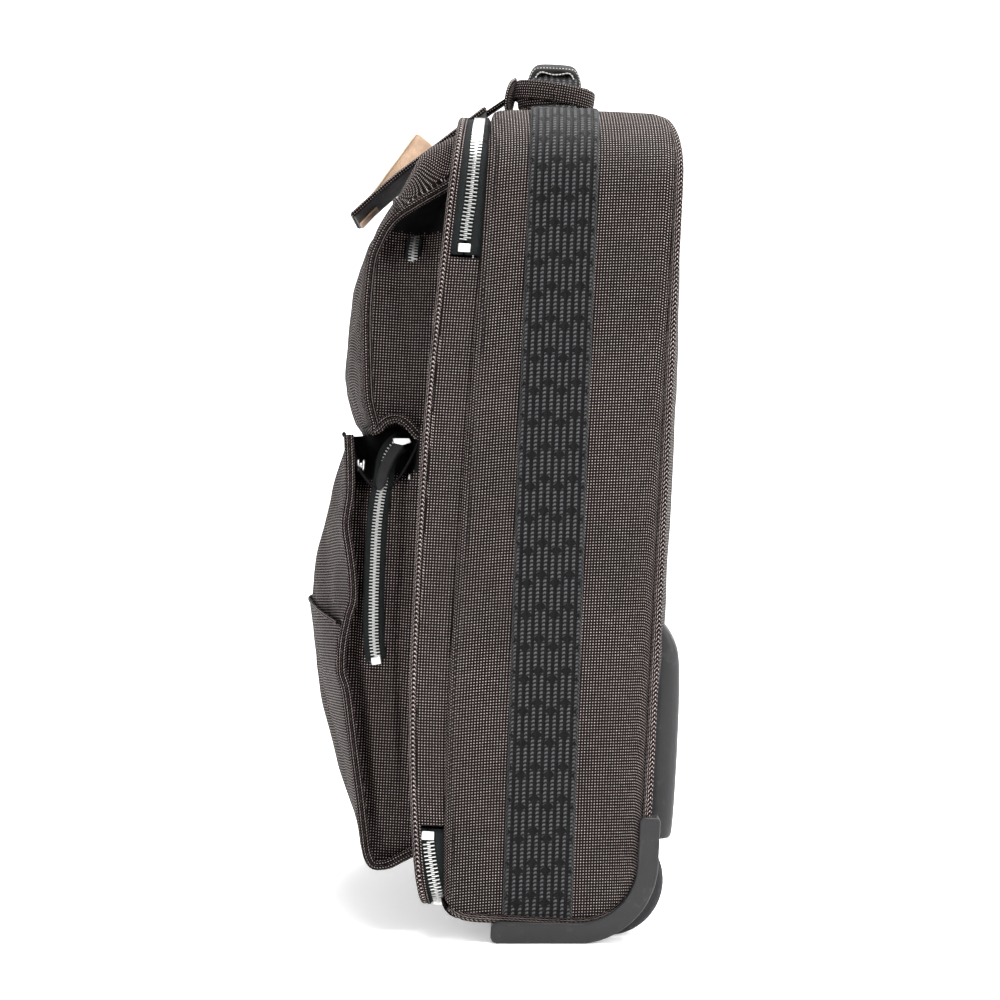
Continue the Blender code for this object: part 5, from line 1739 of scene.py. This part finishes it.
def build_tag():
    """The tag: a cloth strap, a stiff slab edged with cloth, and a folded tan leather flap that springs up."""
    strap, body, leather = span("tag_strap"), span("tag_body"), span("tag_leather")
    x_mid = (strap[0].x + strap[1].x) / 2
    drop = 13.5  # the slab lies this much lower than the solid that stands for it
    top_end = (body[1].y - 2, body[1].z - drop - 3.5)
    low_end = (body[0].y + 3.0, body[0].z - drop + 1.0)
    path = [(x_mid + 4, strap[1].y + 5, strap[1].z - 9), (x_mid + 1, -21, 530), (x_mid - 3, -29, 525), (x_mid - 6, top_end[0] - 6, top_end[1] - 3.5)]
    section = [(-4.6, -1.7), (4.6, -1.7), (5.0, 0), (4.6, 1.7), (-4.6, 1.7), (-5.0, 0)]
    obj = sweep("tag_strap_cloth", rounded_path(path, 6), section, first=(0, -0.5, 0.8))
    fix(subdivide(obj, 1), "tag", "cloth", ("tag_strap",))

    half = (body[1].x - body[0].x) / 2
    middle = (body[1].x + body[0].x) / 2
    bend = [(top_end[0] - 30, top_end[1] - 25.5), (top_end[0] - 58, top_end[1] - 49)]
    course = rounded_path([(*top_end, 0)] + [(*p, 0) for p in bend] + [(*low_end, 0)], 12)
    course = resample([(y, z) for y, z, _ in course], 3.0)
    normals = flat_normals(course)
    normals *= np.sign(normals[:, 1:2])

    def layer(name, off, inset, thickness):
        rows = [[(middle + (half - inset) * u, y + n[0] * off, z + n[1] * off) for u in np.linspace(-1, 1, 15)]
                for (y, z), n in zip(course, normals)]
        return thicken(sheet(name, rows, inside=(middle, -80, 400)), thickness)

    core = layer("tag_core", 0.6, 0.0, 2.6)
    soften(core, 0.5, 2)
    fix(core, "tag", "leather_black", ("tag_body",))
    fix(layer("tag_top", 1.7, 1.0, 0.9), "tag", "cloth")
    rim = [(middle + half, *p) for p in course] + [(middle - half, *p) for p in course[::-1]]
    obj = sweep("tag_edge", [tuple(p) for p in resample(rim, 2.5, closed=True)], circle(1.35, 8), closed=True, first=(0, -0.6, 0.8))
    fix(obj, "tag", "cloth")

    reach = (leather[1].x - leather[0].x) / 2

    def on_slab(y):
        return float(np.interp(y, course[::-1, 0], course[::-1, 1])) + 2.6

    foot = (leather[0].y + 2, on_slab(leather[0].y + 2))
    head = (leather[1].y - 1.5, leather[1].z - drop)
    outline = [foot, head, (head[0] + 2.0, head[1] + 0.2), (head[0] + 9.0, head[1] - 5.0),
               (head[0] + 11.5, on_slab(head[0] + 11.5)), (foot[0] + 6, on_slab(foot[0] + 6))]
    flap = slab("tag_leather_flap", [(middle - reach + 1.0, y, z) for y, z in outline], (1, 0, 0), 2 * reach - 2.0, rounding=0.6)
    fix(flap, "tag", "leather_tan", ("tag_leather",))
    lip = [(middle + side * (reach - 0.4), y - 0.3, z + 0.2) for side in (-1, 1)
           for y, z in ((foot, head) if side < 0 else (head, foot))]
    edge = sweep("tag_leather_edge", [tuple(p) for p in resample(lip, 2.0, closed=True)], circle(0.8, 8), closed=True, first=(0, -0.8, 0.6))
    fix(edge, "tag", "leather_edge", ())
    fold = [[(middle + reach * 0.8 * u, y, z) for u in np.linspace(-1, 0.1, 8)]
            for y, z in ((low_end[0] + 14, low_end[1] + 9.5), (low_end[0] + 7, low_end[1] + 1.5), (low_end[0] + 3.5, low_end[1] - 2.6))]
    obj = thicken(sheet("tag_leather_fold", fold, inside=(middle, -100, 480)), 1.0)
    fix(obj, "tag", "leather_tan")


def rounded_rectangle(x0, y0, x1, y1, radius, steps=5):
    points = arc(x1 - radius, y0 + radius, radius, -90, 0, steps) + arc(x1 - radius, y1 - radius, radius, 0, 90, steps)
    return points + arc(x0 + radius, y1 - radius, radius, 90, 180, steps) + arc(x0 + radius, y0 + radius, radius, 180, 270, steps)


# ---------------------------------------------------------------- stage


def build_stage():
    """A pale floor that curves up into a backdrop all round, soft lights and the camera."""
    paper = Shader("paper")
    grain = paper.noise(paper.place(), 180.0, 3.0)
    tone = paper.mix(grain, (0.93, 0.93, 0.935), (0.96, 0.96, 0.965))
    paper.finish(tone, 0.9, grain, 0.02, Emission_Color=(1.0, 1.0, 1.0), Emission_Strength=0.30)
    bm = bmesh.new()
    rings = [(0.0, 0.0), (1.5, 0.0), (3.0, 0.0), (3.6, 0.12), (4.1, 0.6), (4.3, 1.4), (4.35, 3.2)]
    loops = []
    for radius, height in rings[1:]:
        loops.append([bm.verts.new((radius * math.cos(a), radius * math.sin(a), height))
                      for a in np.linspace(0, 2 * math.pi, 65)[:-1]])
    bm.faces.new(loops[0])
    for lower, upper in zip(loops, loops[1:]):
        for i in range(64):
            bm.faces.new((lower[i], lower[(i + 1) % 64], upper[(i + 1) % 64], upper[i]))
    bmesh.ops.recalc_face_normals(bm, faces=bm.faces)
    bmesh.ops.reverse_faces(bm, faces=bm.faces)
    mesh = bpy.data.meshes.new("backdrop")
    bm.to_mesh(mesh)
    bm.free()
    mesh.shade_smooth()
    mesh.materials.append(paper.material)
    floor = bpy.data.objects.new("backdrop", mesh)
    bpy.context.scene.collection.objects.link(floor)

    def area(name, place, target, size, power):
        light = bpy.data.lights.new(name, "AREA")
        light.shape, light.size, light.size_y, light.energy = "RECTANGLE", size[0], size[1], power
        obj = bpy.data.objects.new(name, light)
        obj.location = place
        obj.rotation_euler = (Vector(target) - Vector(place)).to_track_quat("-Z", "Y").to_euler()
        bpy.context.scene.collection.objects.link(obj)

    area("key_top", (0.1, 0.4, 2.3), (0, 0, 0.3), (1.6, 1.6), 175)
    area("near_side", (1.7, 2.0, 1.4), (0, 0, 0.28), (1.3, 1.3), 46)
    area("far_side", (-1.7, 2.0, 1.4), (0, 0, 0.28), (1.3, 1.3), 46)
    area("front_side", (-0.3, -2.6, 1.3), (0, 0, 0.3), (1.5, 1.5), 9)

    scene = bpy.context.scene
    world_light = scene.world or bpy.data.worlds.new("studio")
    scene.world = world_light
    world_light.use_nodes = True
    sky = world_light.node_tree.nodes.get("Background") or world_light.node_tree.nodes.new("ShaderNodeBackground")
    sky.inputs[0].default_value = (1, 1, 1, 1)
    sky.inputs[1].default_value = 0.44
    scene.view_settings.view_transform = "Standard"

    camera = bpy.data.cameras.new("camera")
    near_side, view_width = 1.2, 0.6  # metres from the case's near side, and what the frame spans there
    camera.sensor_width = 36
    camera.lens = 36 * near_side / view_width
    eye = bpy.data.objects.new("camera", camera)
    aside, height = 0.0061, 0.266
    eye.location = (near_side + HALF_W * MM, aside, height)
    eye.rotation_euler = (math.pi / 2, 0, math.pi / 2)
    scene.collection.objects.link(eye)
    scene.camera = eye


def smooth_table(points):
    """A smooth height-to-depth lookup from (depth, height) points that run upwards."""
    curve = np.array(rounded_path([(d, z, 0) for d, z in points], 8))
    return curve[:, 1], curve[:, 0]


def two_sided(tables, x, z, half):
    """A depth that differs between the case's two sides: looked up on both and blended across."""
    left = float(np.interp(z, *tables[-1]))
    right = float(np.interp(z, *tables[1]))
    share = min(1.0, max(0.0, (x / half + 1) / 2))
    return left + (right - left) * share


def seam_y(x, z):
    return two_sided(SEAM, x, z, HALF_W)


def zip_y(x, z):
    return two_sided(ZIP_LINE, x, z, HALF_W)


def lid_edge_y(x, z):
    return two_sided(LID_EDGE, x, z, HALF_W)


def gusset_top(y):
    """The top slopes down a little towards the back."""
    return body_top(y) - 3.2 * max(0.0, (y - SEAM_Y) / (BACK_Y - SEAM_Y)) - 2.0 * smooth_step(BACK_Y - 12, BACK_Y, y)


def back_curl(z):
    """How far forward the back's edge curls near the top: a quarter of an ellipse."""
    rise = min(1.0, max(0.0, (z - GUSSET[1].z) / BACK_ROLL_HEIGHT + 1))
    return BACK_ROLL * (1 - math.sqrt(1 - rise * rise))


def gusset_sheet(name, shares, y_at, off):
    """A sheet over the gusset. shares are its columns, y_at gives a column's depth at (x, z)."""
    rows = None
    for share in shares:
        guess = y_at(share, HALF_W, 260)
        arch = arch_points(HALF_W, gusset_foot(guess), gusset_top(guess), TOP_R)
        if rows is None:
            rows = [[] for _ in arch]
        for row, (x, z, nx, nz) in zip(rows, arch):
            y = y_at(share, x, z)
            out = gusset_swell(x, y, z) + off(share)
            row.append((x + nx * out, y, z + nz * out))
    return rows


def webbing_y(share, x, z):
    """Depth of a place across the webbing, which leans a little less than the case."""
    middle = (WEB[0].y + WEB[1].y) / 2 + float(np.interp(z, *WEB_SHIFT))
    return middle + (WEB[1].y - WEB[0].y) * (share - 0.5)


def lid_face_y(x, z):
    """Depth of the lid's front face."""
    return lid_edge_y(x, z) - 1.4


def blended_curve(curves, share, count):
    """A curve between the left side's and the right side's, each a list of (y, z)."""
    left, right = (resample(curves[s], 1.0) for s in (-1, 1))
    places = np.linspace(0, 1, count)

    def along(curve):
        own = np.linspace(0, 1, len(curve))
        return np.stack([np.interp(places, own, curve[:, k]) for k in (0, 1)], 1)

    return along(left) * (1 - share) + along(right) * share


def pocket_front(name, curves, half, stand, hump, columns=56, count=64, power=3.0, wrinkle=1.0):
    """A pocket's top and front as one sheet that rises from its edges. stand(s, side) is how far."""
    rows = [[] for _ in range(count)]
    for j in range(columns + 1):
        u = -1 + 2 * j / columns
        share = (u + 1) / 2
        curve = blended_curve(curves, share, count)
        ahead = np.gradient(curve, axis=0)
        normal = np.stack([ahead[:, 1], -ahead[:, 0]], 1)
        normal /= np.linalg.norm(normal, axis=1, keepdims=True)
        if normal[count // 2][0] > 0:
            normal = -normal
        shape = max(0.0, 1 - abs(u) ** power) ** (1 / power)
        round_off = max(0.0, 1 - abs(u) ** 2.4)
        local = share**2.2
        for i, row in enumerate(rows):
            s = i / (count - 1)
            high = (stand(s, -1) * (1 - local) + stand(s, 1) * local) * shape
            upright = max(0.0, 1 - s / 0.25) * local
            lift = normal[i] * (1 - upright) + np.array([0.12, 1.0]) * upright
            y, z = curve[i] + lift * high + normal[i] * hump(s) * round_off
            fold = wrinkle * round_off * (ripple(u * 60, y * 0.4, z * 1.5, 24) + 0.5 * ripple(u * 120, y, z, 13))
            row.append((u * half, y - fold * normal[i][0], z + fold * 0.3))
    return rows


def edge_rolls(name, side, edge, x, radius=1.55):
    """The folded hem along a pocket's edge: two thin rolls side by side."""
    curve = resample(edge, 2.5)
    ahead = np.gradient(curve, axis=0)
    normal = np.stack([ahead[:, 1], -ahead[:, 0]], 1)
    normal /= np.linalg.norm(normal, axis=1, keepdims=True)
    if normal[len(normal) // 2][0] < 0:
        normal = -normal
    made = []
    for k in range(2):
        path = [(side * (x - 0.35 * k), min(y + ny * (0.9 + 2.7 * k), lid_face_y(side * x, z) - 1.6),
                 z + nz * (0.9 + 2.7 * k)) for (y, z), (ny, nz) in zip(curve, normal)]
        made.append(sweep("roll", path, circle(radius, 10), first=(1, 0, 0)))
        made[-1].data.materials.append(FINISH["cloth"])
    seam = [(side * (x + radius - 0.6), y + ny * 2.25, z + nz * 2.25) for (y, z), (ny, nz) in zip(curve, normal)]
    made.append(stitches("seam", seam, length=2.2, gap=0.8, radius=0.26))
    made[-1].data.materials.append(FINISH["thread_dark"])
    return joined(name, made)


def upper_stand(s, side):
    """How far the upper pocket's top stands over its edge, s of the way from the lid to its foot."""
    if side > 0:
        return float(np.interp(s, (0, 0.03, 0.09, 0.15, 0.2, 0.26, 0.32, 0.5, 1), (43, 38, 28, 17.5, 10, 5, 3, 3, 3)))
    return float(np.interp(s, (0, 0.15, 0.3, 0.5, 1), (4, 3, 2.5, 3, 3)))


def upper_hump(s):
    return float(np.interp(s, (0, 0.2, 0.3, 0.5, 0.7, 0.85, 0.95, 1), (0, 0.5, 1.2, 3.7, 7.7, 11, 10, 7)))


def lower_is_lining_and_shade(place):
    """Whether a place on the lower pocket's side gets the black lining: partly the real lining inside its mouth, partly
    painted shade there.
    """
    share = min(1.0, max(0.0, (place.y + 60) / -48))
    return place.z > mouth_line(share) - 2 and share > 0.10


def build_slip_pocket(half, columns):
    """A flat pocket on the front whose mouth gapes a little and dips towards its ends."""
    heights = np.arange(46, 196, 4.0)
    top = heights[-1]
    rows = []
    for z in heights:
        row = []
        for j in range(columns + 1):
            u = -1 + 2 * j / columns
            near_mouth = smooth_step(top - 50, top, z)
            dip = near_mouth * 10 * abs(u) ** 2.5
            gape = near_mouth * 3.0 * (1 - abs(u) ** 4)
            x, y, height = lower_front_point(u, z - dip, half - 0.6, 1.9 + gape)
            row.append((x, y, height))
        rows.append(row)
    slip = sheet("slip_pocket_cloth", rows, inside=(0, -60, 120), start=[46] * (columns + 1))
    subdivide(thicken(slip, 1.3), 1)
    fix(slip, "lid", "cloth", ("slip_pocket",))
    hem = [tuple(p) for p in resample([(a, b - 0.1, c) for a, b, c in rows[-1][1:-1]], 4)]
    fix(sweep("slip_pocket_hem", hem, circle(1.1, 8), first=(0, 0, 1)), "lid", "cloth")


def zip_x(side, y, z):
    """How far out the lower pocket's zip lies on its side gusset."""
    return LOWER_HALF - 3.4 - 9 * smooth_step(262, 300, z)


def build_parked_pull():
    """The pull of the lower zip's second slider, parked at its top on the hinge side: a leather tab hanging down and a
    metal plate.
    """
    x = zip_x(1, -80, 297) + 5.0
    points = rounded_path([(-76.5, 297.5, 0), (-80.5, 292, 0), (-85, 282, 0), (-87.8, 268, 0)], 8)
    path = [(x + (297 - z) * 0.22, y, z) for y, z, _ in points]
    section = [(-3.2, -0.8), (3.2, -0.8), (3.5, 0), (3.2, 0.8), (-3.2, 0.8), (-3.5, 0)]
    tab = sweep("parked_tab", path, section, first=(1, 0, 0.2), scale=lambda s: 1.0 - 0.75 * max(0, (s - 0.86) / 0.14))
    fix(subdivide(tab, 1), "lid", "leather_black")
    plate = [(-69.5, 298.5), (-71, 301), (-81.5, 300.5), (-80.5, 297.5), (-75, 296.5)]
    metal = slab("parked_plate", [(x, y, z) for y, z in plate], (1, 0, 0), 1.6, rounding=0.5)
    fix(metal, "lid", "zip_metal")


def disc_along_y(centre, radius, thick):
    """A small domed disc whose axis runs front to back."""
    x, y, z = centre
    rows = []
    for k, h in ((0.04, 0.5), (0.6, 0.42), (0.9, 0.2), (1.0, 0.0), (1.0, -0.5), (0.6, -0.6), (0.04, -0.6)):
        rows.append([(x + radius * k * math.cos(a), y - thick * h, z + radius * k * math.sin(a))
                     for a in np.linspace(0, 2 * math.pi, 29)[:-1]])
    obj = sheet("disc", rows, closed=True)
    bm = bmesh.new()
    bm.from_mesh(obj.data)
    bmesh.ops.holes_fill(bm, edges=[e for e in bm.edges if e.is_boundary], sides=0)
    bmesh.ops.recalc_face_normals(bm, faces=bm.faces)
    bm.to_mesh(obj.data)
    bm.free()
    obj.data.shade_smooth()
    return obj


SEAM = {side: smooth_table(SEAM_LINE[side]) for side in (-1, 1)}
ZIP_LINE = {side: smooth_table(TEETH_LINE[side]) for side in (-1, 1)}
LID_EDGE = {side: smooth_table(LID_LINE[side]) for side in (-1, 1)}
LOWER_LINE, LOWER_MIDDLE = smooth_table(LOWER_EDGE[::-1]), smooth_table(LOWER_MID)


def mouth_line(t):
    """Height at which the lower pocket's side folds into its mouth; above it the side is painted with the black lining,
    partly real lining and partly painted shade.
    """
    return 284 - 10 * t


def build_cup():
    """The cup in the top, its rim flush with the grip and drawn in a little where the back rolls over."""
    source = frame["nodes"]["handle_cup"]
    mesh = source.data.copy()
    for vertex in mesh.vertices:
        x, y, z = (WORLD_TO_CASE @ vertex.co) / MM
        if z > CUP[1].z - 1:
            z -= CUP_RIM_DROP
            if y > CUP[1].y - 3:
                y -= CUP_RIM_TUCK
        vertex.co = CASE_TO_WORLD @ (Vector((x, y, z)) * MM)
    mesh.materials.clear()
    obj = bpy.data.objects.new("handle_cup_shell", mesh)
    bpy.context.scene.collection.objects.link(obj)
    soften(obj, 0.5, 3)
    slots = {row["node"]: row["material_slot"] for row in frame["record"]["subparts"]}
    fix(obj, "case", slots["handle_cup"], ("handle_cup",))


def cup_room(x):
    """1 behind the top cup, where the back doesn't roll over, and 0 clear of it."""
    return 1 - smooth_step(CUP[1].x + 3, CUP[1].x + 18, abs(x))


def main():
    repaint_kept_nodes()
    build_gusset()
    build_back_panel()
    build_bottom_panel()
    build_back_piping()
    build_webbing()
    build_guards()
    build_wheels()
    build_housing()
    build_cup()
    build_main_zip()
    build_hinge_strip()
    build_lid()
    build_upper_pocket()
    build_lower_pocket()
    up = (0, 0, 1)
    build_puller("upper_zip", up, (-1, 0, 0), True)
    build_puller("lower_zip", up, (-1, 0, 0), True)
    build_puller("main_zip", (1, 0, 0), up, False)
    build_stitching()
    build_handle()
    build_tag_loop()
    build_tag()
    build_stage()


main()
